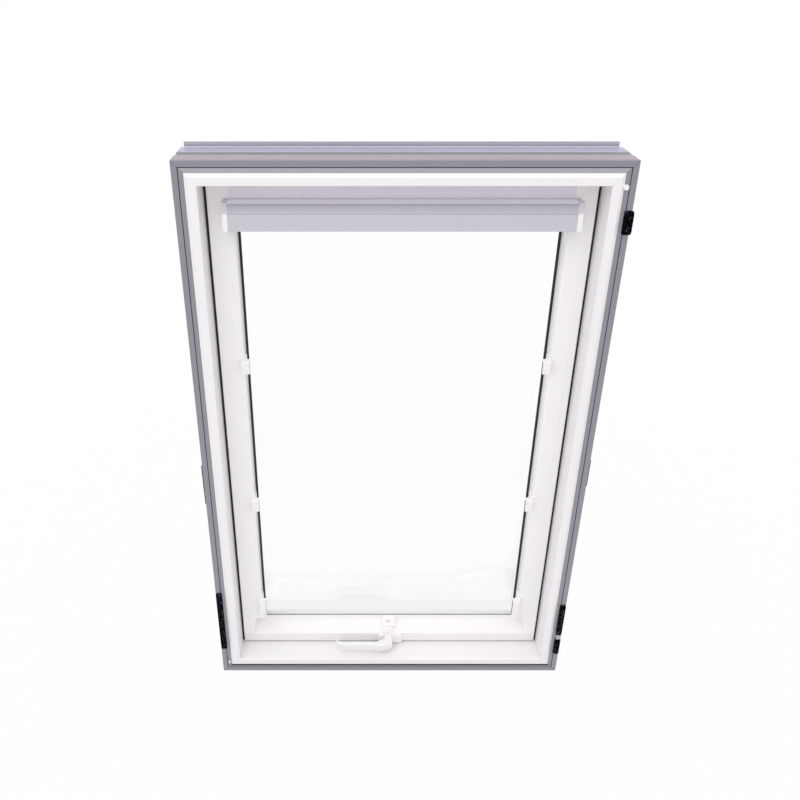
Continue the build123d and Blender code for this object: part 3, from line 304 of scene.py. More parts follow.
def aluminium_finish(name, colours):
    """Drawn aluminium: streaks along each profile, painted reflection bands and highlights
    across its outer face, mitre lines.
    A streak is noise that is fine across the profile and long along it."""
    base, cool_reflection, warm_reflection = colours.aluminium, colours.aluminium_cool_reflection, colours.aluminium_warm_reflection
    f = Finish(name, Metallic=0.55, Roughness=0.36)
    _, x, y, z = f.place()
    inset, mitre = f.ring(HALF_WIDTH, 0, HEIGHT)
    depth = y - FRAME_FACE_Y
    along = x + z
    streaks = f.noise(f.vector(inset * 900, depth * 900, along * 3), 1, 3)
    grain = f.noise(f.vector(inset * 5000, depth * 5000, along * 60), 1, 2)
    drift = f.noise(f.vector(along * 9, 0, 0), 1, 1)
    warm_reflection_fade = f.noise(f.vector(along * 5 + 7, depth * 120, 0), 1, 2)

    # Painted reflection: the bands are strongest on the head's outer face and weaker on the jambs.
    on_head = (HEIGHT - z) < (HALF_WIDTH - abs(x))
    outer = 1 - f.between(inset, 0.8 * MM, 1.4 * MM)
    outer = outer * f.between(depth, 0.5 * MM, 1.5 * MM) * (0.35 + 0.65 * on_head)
    # Painted reflection: cool and warm bands across the outer faces.
    colour = f.mix(outer * f.bands(depth, COOL_REFLECTION_BANDS) * (0.6 + drift * 0.8), base, cool_reflection)
    colour = f.mix(outer * f.bands(depth, WARM_REFLECTION_BANDS) * (0.3 + warm_reflection_fade * 1.4), colour, warm_reflection)
    # Painted highlights: a brighter band towards the rear of the outer faces, and a line along
    # their rear edge.
    colour = f.mix(outer * f.between(depth, 74 * MM, 104 * MM) * 0.8, colour, lighter(cool_reflection, 1.35))
    colour = f.mix(outer * f.between(depth, 107 * MM, 109 * MM), colour, PROFILE_REAR_HIGHLIGHT)
    # Painted reflection: darker bands across the outer faces.
    dark = f.bands(depth, DARK_REFLECTION_BANDS) * (0.35 + drift * 0.5)
    colour = f.mix(outer * dark, colour, lighter(base, 0.5))

    # Painted highlight: the head's inner strip is lighter than the jambs', as light falls on it
    # from above.
    inner_strip = f.between(inset, 11 * MM, 12.5 * MM) * (depth < 2 * MM)
    upper = on_head * (z > HEIGHT / 2) * inner_strip
    colour = f.mix(upper, colour, lighter(base, 1.6))
    colour = f.mix((streaks - 0.5) * 0.35 + 0.175, colour, lighter(base, 1.5))
    joint = 1 - f.between(mitre, 0.25 * MM, 0.7 * MM)
    f.give("Base Color", f.mix(joint * 0.7, colour, lighter(base, 0.25)))
    f.give("Roughness", 0.3 + streaks * 0.12 + grain * 0.08)
    f.bump(grain * 0.15 + streaks, 0.04 * MM)
    return f.material


def lacquered(name, colour, half_width, low, high, roughness):
    """White lacquer on boards: a fine ripple, slight unevenness and hairline mitres. Returns
    the finish, its tone and its mitre lines, for colour_lacquer."""
    f = Finish(name, Roughness=roughness, Coat_Weight=0.25, Coat_Roughness=0.3)
    point = f.place()[0]
    _, mitre = f.ring(half_width, low, high)
    ripple = f.noise(point, 900, 2, 0.6)
    cloud = f.noise(point, 9, 3)
    line = 1 - f.between(mitre, 0.15 * MM, 0.5 * MM)
    f.give("Roughness", roughness - 0.02 + cloud * 0.04)
    f.bump(ripple * 0.1 - line * 2.0, 0.04 * MM)
    return f, f.mix(cloud, lighter(colour, 0.99), lighter(colour, 1.005)), line


def colour_lacquer(f, tone, line, colour):
    """Give a lacquer its colour, darker in the mitre lines."""
    f.give("Base Color", f.mix(line * 0.25, tone, lighter(colour, 0.5)))
    return f.material


def lining_finish(name, colour):
    """Lacquer of the lining boards."""
    return colour_lacquer(*lacquered(name, colour, HALF_WIDTH, 0, HEIGHT, 0.34), colour)


def sash_finish(name, colour):
    """Lacquer of the sash, with a seam along the stiles, painted shade on the front of the
    bottom rail and streaks of painted shade on the rail above the blind."""
    low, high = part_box("sash_stile_left")[0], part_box("sash_stile_right")[1]
    f, tone, line = lacquered(name, colour, high.x, low.z, high.z, 0.28)
    _, x, y, z = f.place()
    seam, seam_half = 14.1 * MM, 0.3 * MM
    joint = f.band(high.x - abs(x), seam - seam_half, seam + seam_half, seam_half)
    tone = f.mix(joint * 0.12, tone, lighter(colour, 0.3))
    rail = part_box("sash_bottom_rail")[0]
    # Painted shade: the bottom rail's front face is duller than its upward ledge.
    rail_face = 24.5 * MM
    shaded_front = (z < rail.z + rail_face) * (y < rail.y + 1 * MM)
    tone = f.mix(shaded_front, tone, lighter(colour, 0.92))
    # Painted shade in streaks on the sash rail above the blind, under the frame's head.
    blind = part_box("blind_cassette")[1]
    above = (abs(x) < blind.x) * (z > blind.z - 2 * MM)
    streaks = f.noise(f.vector(x * 3, y * 50, z * 420), 1, 2)
    tone = f.mix(above * (0.4 + streaks * 0.9), tone, RAIL_SHADE_ABOVE_BLIND)
    return colour_lacquer(f, tone, line, colour)


def rubber_finish(name, colour, pale_below=None):
    """Extruded rubber: matt, with fine dust. A run below a height can be pale rubber."""
    f = Finish(name, Roughness=0.62)
    point, _, _, z = f.place()
    dust = f.noise(point, 260, 4, 0.7)
    skin = f.noise(point, 2600, 2)
    tone = f.mix(f.between(dust, 0.5, 0.85) * 0.3, colour, lighter(colour, 3.5))
    if pale_below is not None:
        tone = f.mix(z < pale_below, tone, PALE_RUBBER)
    f.give("Base Color", tone)
    f.give("Roughness", 0.55 + dust * 0.2)
    f.bump(skin, 0.05 * MM)
    return f.material


def coated_sheet_finish(name, colour):
    """Coated sheet metal: a fine even grain, slight clouds and rain streaks down it. The head
    cover's lip has a painted sheen in front, with lines of painted shade and highlight at its foot."""
    f = Finish(name, Metallic=0.35, Roughness=0.42)
    point, x, y, z = f.place()
    grain = f.noise(point, 2200, 2, 0.6)
    cloud = f.noise(point, 7, 4)
    rain = f.noise(f.vector(x * 120, y * 120, z * 3), 1, 3)
    tone = f.mix(cloud * 0.5 + rain * 0.3, lighter(colour, 0.86), lighter(colour, 1.18))
    lip_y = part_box("cover_head")[0].y
    foot_highlight_top, fold_shade_top = HEIGHT + 1.5 * MM, HEIGHT + 3.6 * MM
    front = (y < lip_y + 0.8 * MM) * (z > HEIGHT - 1 * MM)
    # Painted sheen in patches on the lip's front, a line of painted shade in the fold above its
    # foot, and a painted highlight along the foot.
    sheen = f.noise(f.vector(x * 2.2, z * 260, 0), 1, 2)
    tone = f.mix(front * f.between(sheen, 0.35, 0.7) * 0.6, tone, LIP_PAINTED_SHEEN)
    tone = f.mix(front * (z < fold_shade_top) * 0.6, tone, lighter(colour, 0.4))
    f.give("Base Color", f.mix(front * (z < foot_highlight_top), tone, LIP_FOOT_HIGHLIGHT))
    f.give("Roughness", 0.34 + grain * 0.12 + rain * 0.08)
    f.bump(grain, 0.04 * MM)
    return f.material


def steel_finish(name, colour, metallic=1.0):
    """Zinc-plated steel: small crystals of different brightness and a brushed grain."""
    f = Finish(name, Metallic=metallic, Roughness=0.34)
    point, x, y, z = f.place()
    crystals = f.node("ShaderNodeTexVoronoi", None, {"Vector": point, "Scale": 520}, "Color")
    spread = f.node("ShaderNodeSeparateXYZ", None, {0: crystals})
    brushed = f.noise(f.vector(x * 2500, y * 2500, z * 90), 1, 2)
    f.give("Base Color", f.mix(spread, lighter(colour, 0.8), lighter(colour, 1.15)))
    f.give("Roughness", 0.24 + spread * 0.16 + brushed * 0.1)
    f.bump(brushed, 0.02 * MM)
    return f.material


def ribbed_finish(name, colour):
    """Black moulding: matt, with bluish spots of painted glint."""
    f = Finish(name, Roughness=0.6, Specular_IOR_Level=0.02)
    point = f.place()[0]
    # Spots of painted glint, bluish, on the matt black.
    glint_spots = f.noise(point, 160, 3, 0.7)
    pits = f.pits(point)
    f.give("Base Color", f.mix(f.between(glint_spots, 0.5, 0.68) * 0.6, colour, BLOCK_PAINTED_GLINT))
    f.give("Roughness", 0.5 + glint_spots * 0.2)
    f.bump(pits, 0.05 * MM)
    return f.material


def moulded_finish(name, colour, roughness, texture):
    """Moulded plastic: a fine spark-eroded texture and slight gloss changes."""
    f = Finish(name, Roughness=roughness)
    point = f.place()[0]
    pits = f.pits(point)
    cloud = f.noise(point, 60, 3)
    f.give("Base Color", f.mix(cloud, lighter(colour, 0.93), lighter(colour, 1.03)))
    f.give("Roughness", roughness - 0.06 + cloud * 0.12)
    f.bump(pits, texture)
    return f.material


def cap_finish(name, colour):
    """Moulded end cap: painted shade makes it duller beside the casing's hollow than below it."""
    f = Finish(name, Roughness=0.4)
    point, _, _, z = f.place()
    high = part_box("blind_cassette")[1]
    pits = f.pits(point)
    # Painted shade on the cap's upper part, beside the casing's hollow.
    upper = 1 - f.between(high.z - z, 17 * MM, 21 * MM)
    f.give("Base Color", f.mix(upper, colour, CAP_UPPER_SHADE))
    f.give("Roughness", 0.34 + pits * 0.2)
    f.bump(pits, 0.05 * MM)
    return f.material


def handle_finish(name, colour):
    """Powder-coated casting: a soft orange-peel skin under a clear gloss."""
    f = Finish(name, Roughness=0.3, Coat_Weight=0.4, Coat_Roughness=0.08)
    point = f.place()[0]
    peel = f.noise(point, 700, 2, 0.55)
    cloud = f.noise(point, 35, 3)
    f.give("Base Color", f.mix(cloud, lighter(colour, 0.96), lighter(colour, 1.01)))
    f.give("Roughness", 0.26 + cloud * 0.1)
    f.bump(peel, 0.08 * MM)
    return f.material


def blind_metal_finish(name, colour):
    """Anodised casing: fine lines along its length, painted shade that makes a hollow darker
    than its flat, and painted light on a top that is bright in front, with painted shade at the
    rear."""
    f = Finish(name, Metallic=0.2, Roughness=0.45)
    _, x, y, z = f.place()
    lines = f.noise(f.vector(x * 4, y * 1400, z * 1400), 1, 3)
    band = f.noise(f.vector(x * 1.2, y * 90, z * 90), 1, 2)
    tone = f.mix(lines * 0.5 + band * 0.5, lighter(colour, 0.9), lighter(colour, 1.08))
    low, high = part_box("blind_cassette")
    drop = high.z - z
    rear_strip, hollow_foot = 4 * MM, 19.3 * MM
    # Painted light on the casing's top face, with a strip of painted shade at its rear, where it
    # meets the sash.
    top = f.mix(y > high.y - rear_strip, CASING_TOP_LIGHT, CASING_REAR_SHADE)
    tone = f.mix((drop < 0.3 * MM) * (y > low.y + 3 * MM), tone, top)
    # Painted shade in the hollow under the casing's lip, darkest at its top.
    hollow = f.band(drop, 1.2 * MM, hollow_foot, 0.5 * MM) * (y < low.y + 8 * MM)
    shade = 1 - f.between(drop, 0, 11 * MM)
    f.give("Base Color", f.mix(hollow * (0.5 + shade * 0.5), tone, CASING_HOLLOW_SHADE))
    f.give("Roughness", 0.38 + lines * 0.14)
    f.bump(lines, 0.03 * MM)
    return f.material


def glass_finish(name):
    """Clear float glass with slight waviness. Most light passes straight through it."""
    f = Finish(name, Base_Color=GLASS_TINT, Roughness=0.0, IOR=1.5, Transmission_Weight=1.0,
               Alpha=0.11)
    f.bump(f.noise(f.place()[0], 45, 1), 0.001 * MM, 0.1)
    return f.material


def spacer_finish(name, colour):
    """Spacer bar between the panes: bright metal with a row of small breathing holes."""
    f = Finish(name, Metallic=0.05, Roughness=0.45)
    _, x, y, z = f.place()
    low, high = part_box("spacer_bar")
    hole_pitch, hole_half = 4 * MM, 0.4 * MM
    wave = f.math("FRACT", (x + z) / hole_pitch)
    hole = (abs(wave - 0.5) < 0.12) * (abs(y - (low.y + high.y) / 2) < hole_half)
    rolled = f.noise(f.vector(x * 30, y * 2200, z * 30), 1, 2)
    tone = f.mix(rolled, lighter(colour, 0.94), lighter(colour, 1.05))
    f.give("Base Color", f.mix(hole, tone, SPACER_HOLE))
    f.give("Roughness", 0.3 + rolled * 0.2)
    f.bump(rolled - hole, 0.05 * MM)
    return f.material


def cloth_finish(name, colour, pitch):
    """Woven cloth on its own map. The threads run down the blind only, because the cloth is
    drawn out along them as the bar is pulled."""
    f = Finish(name, Roughness=0.85, Sheen_Weight=0.25, Sheen_Roughness=0.5)
    place = f.node("ShaderNodeUVMap", {"uv_map": "cloth"})
    u = f.node("ShaderNodeSeparateXYZ", None, {0: place})
    thread = abs(f.math("SINE", u * (pi / pitch)))
    slub = f.noise(f.vector(u * 700, 0, 0), 1, 3)
    shade = f.noise(f.vector(u * 30, 0, 0), 1, 2)
    weave = thread * 0.4 + slub * 0.4 + shade * 0.2
    f.give("Base Color", f.mix(weave, lighter(colour, 0.8), lighter(colour, 1.08)))
    f.give("Roughness", 0.78 + slub * 0.15)
    f.bump(thread + slub * 0.5, 0.1 * MM)
    return f.material


def all_finishes(colours, sizes):
    """Every finish: one for each material slot of the record, and those of OWN_FINISH."""
    made = {
        "frame_metal": aluminium_finish("frame_metal", colours),
        "glass": glass_finish("glass"),
        "blind_fabric": cloth_finish("blind_fabric", colours.cloth, sizes.thread_pitch),
    }
    rubber_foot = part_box("glazing_gasket")[0].z + 12 * MM
    for name, make, colour, *rest in (
            ("white_lining", lining_finish, colours.lining),
            ("white_sash", sash_finish, colours.sash),
            ("black_rubber", rubber_finish, colours.rubber),
            ("glazing_rubber", rubber_finish, colours.rubber, rubber_foot),
            ("weather_cover", coated_sheet_finish, colours.cover),
            ("zinc_steel", steel_finish, colours.steel),
            ("bracket_steel", steel_finish, BRACKET_STEEL, 0.2),
            ("bearing_plastic", moulded_finish, BEARING_PLASTIC, 0.45, 0.03 * MM),
            ("black_plastic", ribbed_finish, colours.black),
            ("white_plastic", moulded_finish, colours.white, 0.38, 0.05 * MM),
            # The button's finish is painted shade, greyer than the pad.
            ("push_button", moulded_finish, BUTTON_SHADE, 0.4, 0.05 * MM),
            ("blind_cap", cap_finish, colours.white),
            ("spacer_metal", spacer_finish, SPACER_METAL),
            ("handle_metal", handle_finish, colours.handle),
            ("blind_metal", blind_metal_finish, colours.blind)):
        made[name] = make(name, colour, *rest)
    return made


def slot_of(node):
    """The record's material slot of a CAD node."""
    for row in frame["record"]["subparts"]:
        if row["node"] == node:
            return row["material_slot"]
    raise RuntimeError(f"no material slot for {node}")


def finish_named(name):
    """A finish that the finishes operator has made."""
    material = bpy.data.materials.get(f"{name} finish")
    if material is None:
        raise RuntimeError(f"make the finishes before the piece that uses {name}")
    return material


def grid(points, wrap=True, closed=(True, True)):
    """Faces between the rows of a grid of points. Wrapped rows are rings, and a closed
    end has one more point at its ring's middle. Returns points, quads and triangles."""
    rows, columns = points.shape[:2]
    index = np.arange(rows * columns).reshape(rows, columns)
    near = index if wrap else index[:, :-1]
    far = np.roll(index, -1, axis=1) if wrap else index[:, 1:]
    quads = np.stack([near[:-1], far[:-1], far[1:], near[1:]], axis=-1).reshape(-1, 4)
    flat = points.reshape(-1, 3)
    fans = []
    for ring, has_pole in zip((0, rows - 1), closed):
        if wrap and has_pole:
            pole = np.full(columns, len(flat))
            flat = np.vstack([flat, points[ring].mean(axis=0)])
            fans.append(np.stack([index[ring], np.roll(index[ring], -1), pole], axis=-1))
    return flat, quads, np.vstack(fans) if fans else np.zeros((0, 3), int)


def build_piece(name, shells, material, sharp=40):
    """One mesh object from several grids, with its faces turned outwards."""
    points, quads, fans, start = [], [], [], 0
    for flat, squares, triangles in shells:
        points.append(flat)
        quads.append(squares + start)
        fans.append(triangles + start)
        start += len(flat)
    mesh = bpy.data.meshes.new(name)
    faces = np.vstack(quads).tolist() + np.vstack(fans).tolist()
    mesh.from_pydata(np.vstack(points).tolist(), [], faces)
    work = bmesh.new()
    work.from_mesh(mesh)
    bmesh.ops.recalc_face_normals(work, faces=work.faces)
    work.to_mesh(mesh)
    work.free()
    mesh.polygons.foreach_set("use_smooth", np.ones(len(mesh.polygons), bool))
    mesh.set_sharp_from_angle(angle=radians(sharp))
    piece = bpy.data.objects.new(name, mesh)
    bpy.context.scene.collection.objects.link(piece)
    mesh.materials.append(material)
    return piece


def add_piece(name, shells, body, slot, replaced=(), sharp=40, finish=None):
    """A piece with its finish, that rides on a body and may stand for CAD nodes."""
    piece = build_piece(name, shells, finish_named(finish or slot), sharp)
    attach(piece, body)
    if replaced:
        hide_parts(*replaced)
    return piece


def middle_of(low, high):
    """The middle of a box."""
    return np.array([(a + b) / 2 for a, b in zip(low, high)])


def turned(points, origin, across=(1, 0, 0), up=(0, 0, 1)):
    """Points drawn in (across, up, out) set at an origin. Out is across times up, which is
    towards the room unless other directions are given."""
    across, up = np.array(across, float), np.array(up, float)
    axes = np.stack([across, up, np.cross(across, up)])
    return points @ axes + np.array(origin, float)


def slab(half_width, half_height, corner, profile, steps=5):
    """A rounded plate: each ring is the rectangle drawn in by the profile's inset and raised
    by its height, and each corner is its centre plus its radius times (cos, sin)."""
    inset, height = np.array(profile, float).T[:, :, None]
    turns = np.linspace(0, pi / 2, steps + 1)
    angle = (np.arange(4)[:, None] * pi / 2 + turns).ravel()
    sign_x = np.repeat([1, -1, -1, 1], steps + 1)
    sign_y = np.repeat([1, 1, -1, -1], steps + 1)
    radius = np.maximum(corner - inset, 0.02 * MM)
    x = sign_x * (half_width - inset - radius) + radius * np.cos(angle)
    y = sign_y * (half_height - inset - radius) + radius * np.sin(angle)
    return np.stack([x, y, height + 0 * x], axis=-1)


def edge(height, rounding, steps=4):
    """A plate's side and its rounded rim: a quarter circle from upright to level. Each point
    is its inset, the rounding times 1 - cos, and its height, less the rounding times 1 - sin."""
    angle = np.linspace(0, pi / 2, steps + 1)
    inset = rounding * (1 - np.cos(angle))
    rise = height - rounding * (1 - np.sin(angle))
    return np.vstack([[0, 0], np.stack([inset, rise], axis=-1)])


def spun(profile, steps=32):
    """A profile of (radius, height) turned round the out axis."""
    radius, height = np.array(profile, float).T[:, :, None]
    angle = np.linspace(0, 2 * pi, steps, endpoint=False)
    return np.stack([radius * np.cos(angle), radius * np.sin(angle), height + 0 * angle], axis=-1)


def swept(path, normal, side, half_across, half_along, squareness, steps=32):
    """A section carried along a path: the path plus its normal times a superellipse's
    cosine to the power 2 / squareness, plus the side times its sine to that power."""
    angle = np.linspace(0, 2 * pi, steps, endpoint=False)
    power = 2 / squareness
    across = np.sign(np.cos(angle)) * np.abs(np.cos(angle)) ** power
    along = np.sign(np.sin(angle)) * np.abs(np.sin(angle)) ** power
    return (path[:, None] + normal[:, None] * (half_across[:, None] * across)[..., None]
            + side[:, None] * (half_along[:, None] * along)[..., None])


def eased(corners, rounding, share):
    """Points along a path of four corners, at shares that GRIP_END and BEND_END divide into
    grip, bend and neck. Near an inner corner the path is the curve
    a (1 - t)^2 + 2 b t (1 - t) + c t^2 from a to c round the corner b."""
    t = np.linspace(0, 1, 9)[:, None]
    pieces = [corners[:1]]
    for before, corner, after in zip(corners, corners[1:], corners[2:]):
        first = corner + (before - corner) * rounding / np.linalg.norm(before - corner)
        last = corner + (after - corner) * rounding / np.linalg.norm(after - corner)
        pieces.append(first * (1 - t) ** 2 + 2 * corner * t * (1 - t) + last * t ** 2)
    line = np.vstack([*pieces, corners[-1:]])
    run = np.concatenate([[0], np.cumsum(np.linalg.norm(np.diff(line, axis=0), axis=1))])
    bend_middles = run[5], run[14]
    place = np.interp(share, (0, GRIP_END, BEND_END, 1), (0, *bend_middles, run[-1]))
    return np.stack([np.interp(place, run, line[:, axis]) for axis in (0, 1)], axis=-1)


OWN_FINISH = {"blind_cap_left": "blind_cap", "blind_cap_right": "blind_cap",
              "glazing_gasket": "glazing_rubber", "side_brackets": "bracket_steel"}


class ROOFWINDOW_OT_finishes(bpy.types.Operator):
    """Make every finish and give it to the CAD nodes"""
    bl_idname = "roofwindow.finishes"
    bl_label = "Finishes"

    def execute(self, context):
        finishes = all_finishes(context.scene.roof_window_colours, context.scene.roof_window_sizes)
        for name, piece in frame["nodes"].items():
            piece.data.materials.clear()
            piece.data.materials.append(finishes[OWN_FINISH.get(name, slot_of(name))])
        return {"FINISHED"}


class ROOFWINDOW_OT_lever(bpy.types.Operator):
    """Cast lever handle: a grip with a slanted tip that curves back into its hub"""
    bl_idname = "roofwindow.lever"
    bl_label = "Lever handle"

    def execute(self, context):
        low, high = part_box("handle_lever")
        hub_x = middle_of(*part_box("spindle_crank"))[0]
        middle_z = middle_of(low, high)[2] + 1.1 * MM
        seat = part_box("handle_base")[0].y - 0.3 * MM
        thickness, half_neck, half_grip = 11.5 * MM, 9.5 * MM, 11.6 * MM
        tip_x = low.x - 3 * MM
        outer_bend = np.array([-7 * MM, 9 * MM])
        inner_bend = np.array([-36 * MM, 15 * MM])
        curl_reach, curl_depth, tip_lift = 18 * MM, 5.5 * MM, 3 * MM
        slant_reach, slant_depth, end_rounding = 60 * MM, 8 * MM, 2.6 * MM
        grip_lift, neck_taper, half_bend = 2 * MM, 2.1 * MM, 14 * MM

        # The outer and the inner edge of the bent bar, from the tip to the base plate.
        front, back = low.y, low.y + thickness
        outer = np.array([(tip_x, front), (hub_x + outer_bend[0], front),
                          (hub_x + half_neck, front + outer_bend[1]), (hub_x + half_neck, seat)])
        inner = np.array([(tip_x, back), (hub_x + inner_bend[0], back),
                          (hub_x - half_neck, back + inner_bend[1]), (hub_x - half_neck, seat)])
        share = np.concatenate([[0, 0.004, 0.01, 0.02], np.linspace(0.035, 1, 90)])
        near = eased(outer, 6 * MM, share)
        far = eased(inner, 8 * MM, share)
        length = share / GRIP_END * (hub_x - half_bend - low.x)

        # The tip curls back by the square of its nearness to the end.
        curl = np.clip(1 - length / curl_reach, 0, 1)[:, None] ** 2
        near = near + curl * [0, curl_depth]
        far = far + curl * [0, curl_depth]
        path = np.insert((near + far) / 2, 2, middle_z, axis=1)
        path[:, 2] += grip_lift * np.clip((0.85 - share) / 0.3, 0, 1)

        # A squarish section along the path, shrunk to a rounded end at the tip.
        half = np.insert((near - far) / 2, 2, 0, axis=1)
        half_across = np.linalg.norm(half, axis=1)
        normal = half / half_across[:, None]
        side = np.tile([0.0, 0.0, 1.0], (len(path), 1))
        half_along = half_grip - neck_taper * np.clip((share - GRIP_END) / 0.3, 0, 1)
        tip = np.clip(length / end_rounding, 0, 1)
        shrink = 0.55 + 0.45 * np.sqrt(1 - (1 - tip) ** 2)
        points = swept(path, normal, side, half_across * shrink,
                       half_along * (0.75 + 0.25 * shrink),
                       context.scene.roof_window_sizes.lever_edge, 48)

        # The end slants inwards towards its lower edge, and its upper edge lifts.
        slant = slant_depth * np.clip(1 - length / slant_reach, 0, 1)[:, None]
        lift = (points[..., 2] - middle_z + half_grip) / (2 * half_grip)
        points[..., 0] += slant * (1 - lift)
        points[..., 2] += curl * tip_lift * lift
        add_piece("lever", [grid(points)], "handle", "handle_metal", ["handle_lever"], 60)
        return {"FINISHED"}


class ROOFWINDOW_OT_base_plate(bpy.types.Operator):
    """Base plate under the lever, with a rounded rim and a collar round the hub"""
    bl_idname = "roofwindow.base_plate"
    bl_label = "Base plate"

    def execute(self, context):
        low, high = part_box("handle_base")
        thick = high.y - low.y
        middle = middle_of(low, high)
        hub_x = middle_of(*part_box("spindle_crank"))[0]
        lever_z = middle_of(*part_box("handle_lever"))[2]
        corner, rounding = 6 * MM, 2.4 * MM
        collar_radius, collar_rise = 10.6 * MM, 0.6 * MM
        plate = slab((high.x - low.x) / 2, (high.z - low.z) / 2, corner,
                     edge(thick - collar_rise, rounding))
        collar = spun([(collar_radius, 2 * MM), (collar_radius, thick - 0.5 * MM),
                       (10 * MM, thick), (6 * MM, thick)])
        shells = [grid(turned(plate, (middle[0], high.y, middle[2]))),
                  grid(turned(collar, (hub_x, high.y, lever_z)))]
        add_piece("base_plate", shells, "sash", "handle_metal", ["handle_base"])
        return {"FINISHED"}


def ledge_axes():
    """The middle of the sloping ledge's foot, and the direction up the ledge."""
    low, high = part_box("latch_housing")
    ledge_rise, pad_rise = 25 * MM, 9.5 * MM
    foot_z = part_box("sash_bottom_rail")[0].z + ledge_rise
    slope = np.array([0, high.y - low.y, high.z - pad_rise - foot_z])
    return np.array([(low.x + high.x) / 2, low.y, foot_z]), slope / np.linalg.norm(slope)


class ROOFWINDOW_OT_latch_pad(bpy.types.Operator):
    """Latch pad on the ledge with the button's well, and its stepped tongue"""
    bl_idname = "roofwindow.latch_pad"
    bl_label = "Latch pad and button"

    def execute(self, context):
        foot, up = ledge_axes()
        out = np.cross((1, 0, 0), up)
        rounding = context.scene.roof_window_sizes.plastic_edge
        low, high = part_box("latch_housing")
        button_reach = (middle_of(*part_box("latch_button"))[1] - foot[1]) / up[1]
        pad_start, overhang = 12 * MM, 2.4 * MM
        start = pad_start / up[1]
        half = ((high.y - low.y) / up[1] + overhang - start) / 2
        pad_top, half_width, corner, tongue_half_width = 11.8 * MM, 15.2 * MM, 2.5 * MM, 11.5 * MM
        shift = np.array([1.8 * MM, 0, 0])

        # The body, and rings of a radius and a rise from its top that form the button's well.
        body = slab(half_width, half, corner, edge(pad_top, rounding))
        angle = np.arctan2(body[-1, :, 1], body[-1, :, 0])
        well = np.array([(9.5, 0.0), (7.4, 0.0), (6.9, 0.3), (6.2, -0.3), (5.4, -2.0),
                         (4.6, -2.6), (4.6, -9.0)])[:, :, None] * MM
        rings = np.stack([well[:, 0] * np.cos(angle) - shift[0],
                          well[:, 0] * np.sin(angle) + button_reach - start - half,
                          pad_top + well[:, 1] + 0 * angle], axis=-1)
        pad = np.concatenate([body, rings])
        shells = [grid(turned(pad, foot + shift + up * (start + half), up=up))]

        # Two steps of the tongue: where each starts and ends along Y, and its rise.
        for first, last, rise in ((5.5, 12.4, 6.2), (0.0, 5.5, 3.3)):
            step = slab(tongue_half_width, (last - first) / 2 * MM / up[1], 1.2 * MM,
                        edge(rise * MM, 0.8 * MM))
            middle = foot + up * ((first + last) / 2 * MM / up[1])
            shells.append(grid(turned(step, middle, up=up)))
        add_piece("latch_pad", shells, "sash", "white_plastic", ["latch_housing"], 50)

        # The button has a hollow top: radius and rise from the pad's top.
        profile = np.array([(4.4, -3.4), (4.4, 1.2), (4.1, 1.75), (3.5, 2.0), (2.6, 1.2),
                            (1.0, 0.4)]) * MM
        place = foot + up * button_reach + out * pad_top
        add_piece("push_button", [grid(turned(spun(profile, 40), place, up=up))], "button",
                  "white_plastic", ["latch_button"], 50, "push_button")
        return {"FINISHED"}


class ROOFWINDOW_OT_side_blocks(bpy.types.Operator):
    """Ribbed black blocks on the frame's front edge"""
    bl_idname = "roofwindow.side_blocks"
    bl_label = "Side blocks"

    def execute(self, context):
        pitch = context.scene.roof_window_sizes.rib_pitch
        rounding, base_drop, end_room = 0.7 * MM, 1.8 * MM, 6 * MM
        rib_inset, rib_half_height, notch_depth = 1.2 * MM, pitch * 0.36, 3.5 * MM
        for node, name in (("side_block_left", "ribbed_block_left"),
                           ("side_block_right_lower", "ribbed_block_right_lower"),
                           ("side_block_right_upper", "ribbed_block_right_upper")):
            low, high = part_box(node)
            x, _, z = middle_of(low, high)
            inwards = -1 if x > 0 else 1
            half_width = (high.x - low.x) / 2
            proud = FRAME_FACE_Y - low.y
            base = slab(half_width, (high.z - low.z) / 2, 4 * MM, edge(proud - base_drop, rounding))
            shells = [grid(turned(base, (x, FRAME_FACE_Y, z)))]
            count = int((high.z - low.z - end_room) / pitch)
            for index in range(count):
                notch = notch_depth if index % 2 else 0.0
                rib = slab(half_width - rib_inset - notch / 2, rib_half_height, 1.6 * MM,
                           edge(proud, rounding))
                place = (x + inwards * notch / 2, FRAME_FACE_Y,
                         z + (index - (count - 1) / 2) * pitch)
                shells.append(grid(turned(rib, place)))
            add_piece(name, shells, "frame", "black_plastic", [node])
        return {"FINISHED"}


class ROOFWINDOW_OT_clip(bpy.types.Operator):
    """Black clip that wraps round the frame's upper right edge, with ribs along and across"""
    bl_idname = "roofwindow.clip"
    bl_label = "Frame clip"

    def execute(self, context):
        low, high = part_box("frame_clip")
        half_width, half_height = (high.x - low.x) / 2, (high.z - low.z) / 2
        x, y, z = middle_of(low, high)
        proud = FRAME_FACE_Y - low.y
        base = slab(half_width, half_height, 3 * MM, edge(proud - 1.8 * MM, 0.7 * MM))
        shells = [grid(turned(base, (x, FRAME_FACE_Y, z)))]
        rim = edge(proud, 0.6 * MM)

        # Three ribs along the clip, each with its shift and half width in mm, and two across.
        for shift, rib_half_width in ((-5.6, 1.7), (0.0, 2.0), (5.6, 1.7)):
            rib = slab(rib_half_width * MM, half_height - 2.2 * MM, 1.2 * MM, rim)
            shells.append(grid(turned(rib, (x + shift * MM, FRAME_FACE_Y, z))))
        end_reach = half_height - 4.2 * MM
        for end in (-1, 1):
            rib = slab(half_width - 0.8 * MM, 3.2 * MM, 1.6 * MM, rim)
            shells.append(grid(turned(rib, (x, FRAME_FACE_Y, z + end * end_reach))))
        wrap = slab((high.y - low.y) / 2, half_height - 4 * MM, 1.4 * MM, edge(3 * MM, 0.8 * MM))
        shells.append(grid(turned(wrap, (HALF_WIDTH, y, z), across=(0, 1, 0))))
        add_piece("ribbed_clip", shells, "frame", "black_plastic", ["frame_clip"])
        return {"FINISHED"}


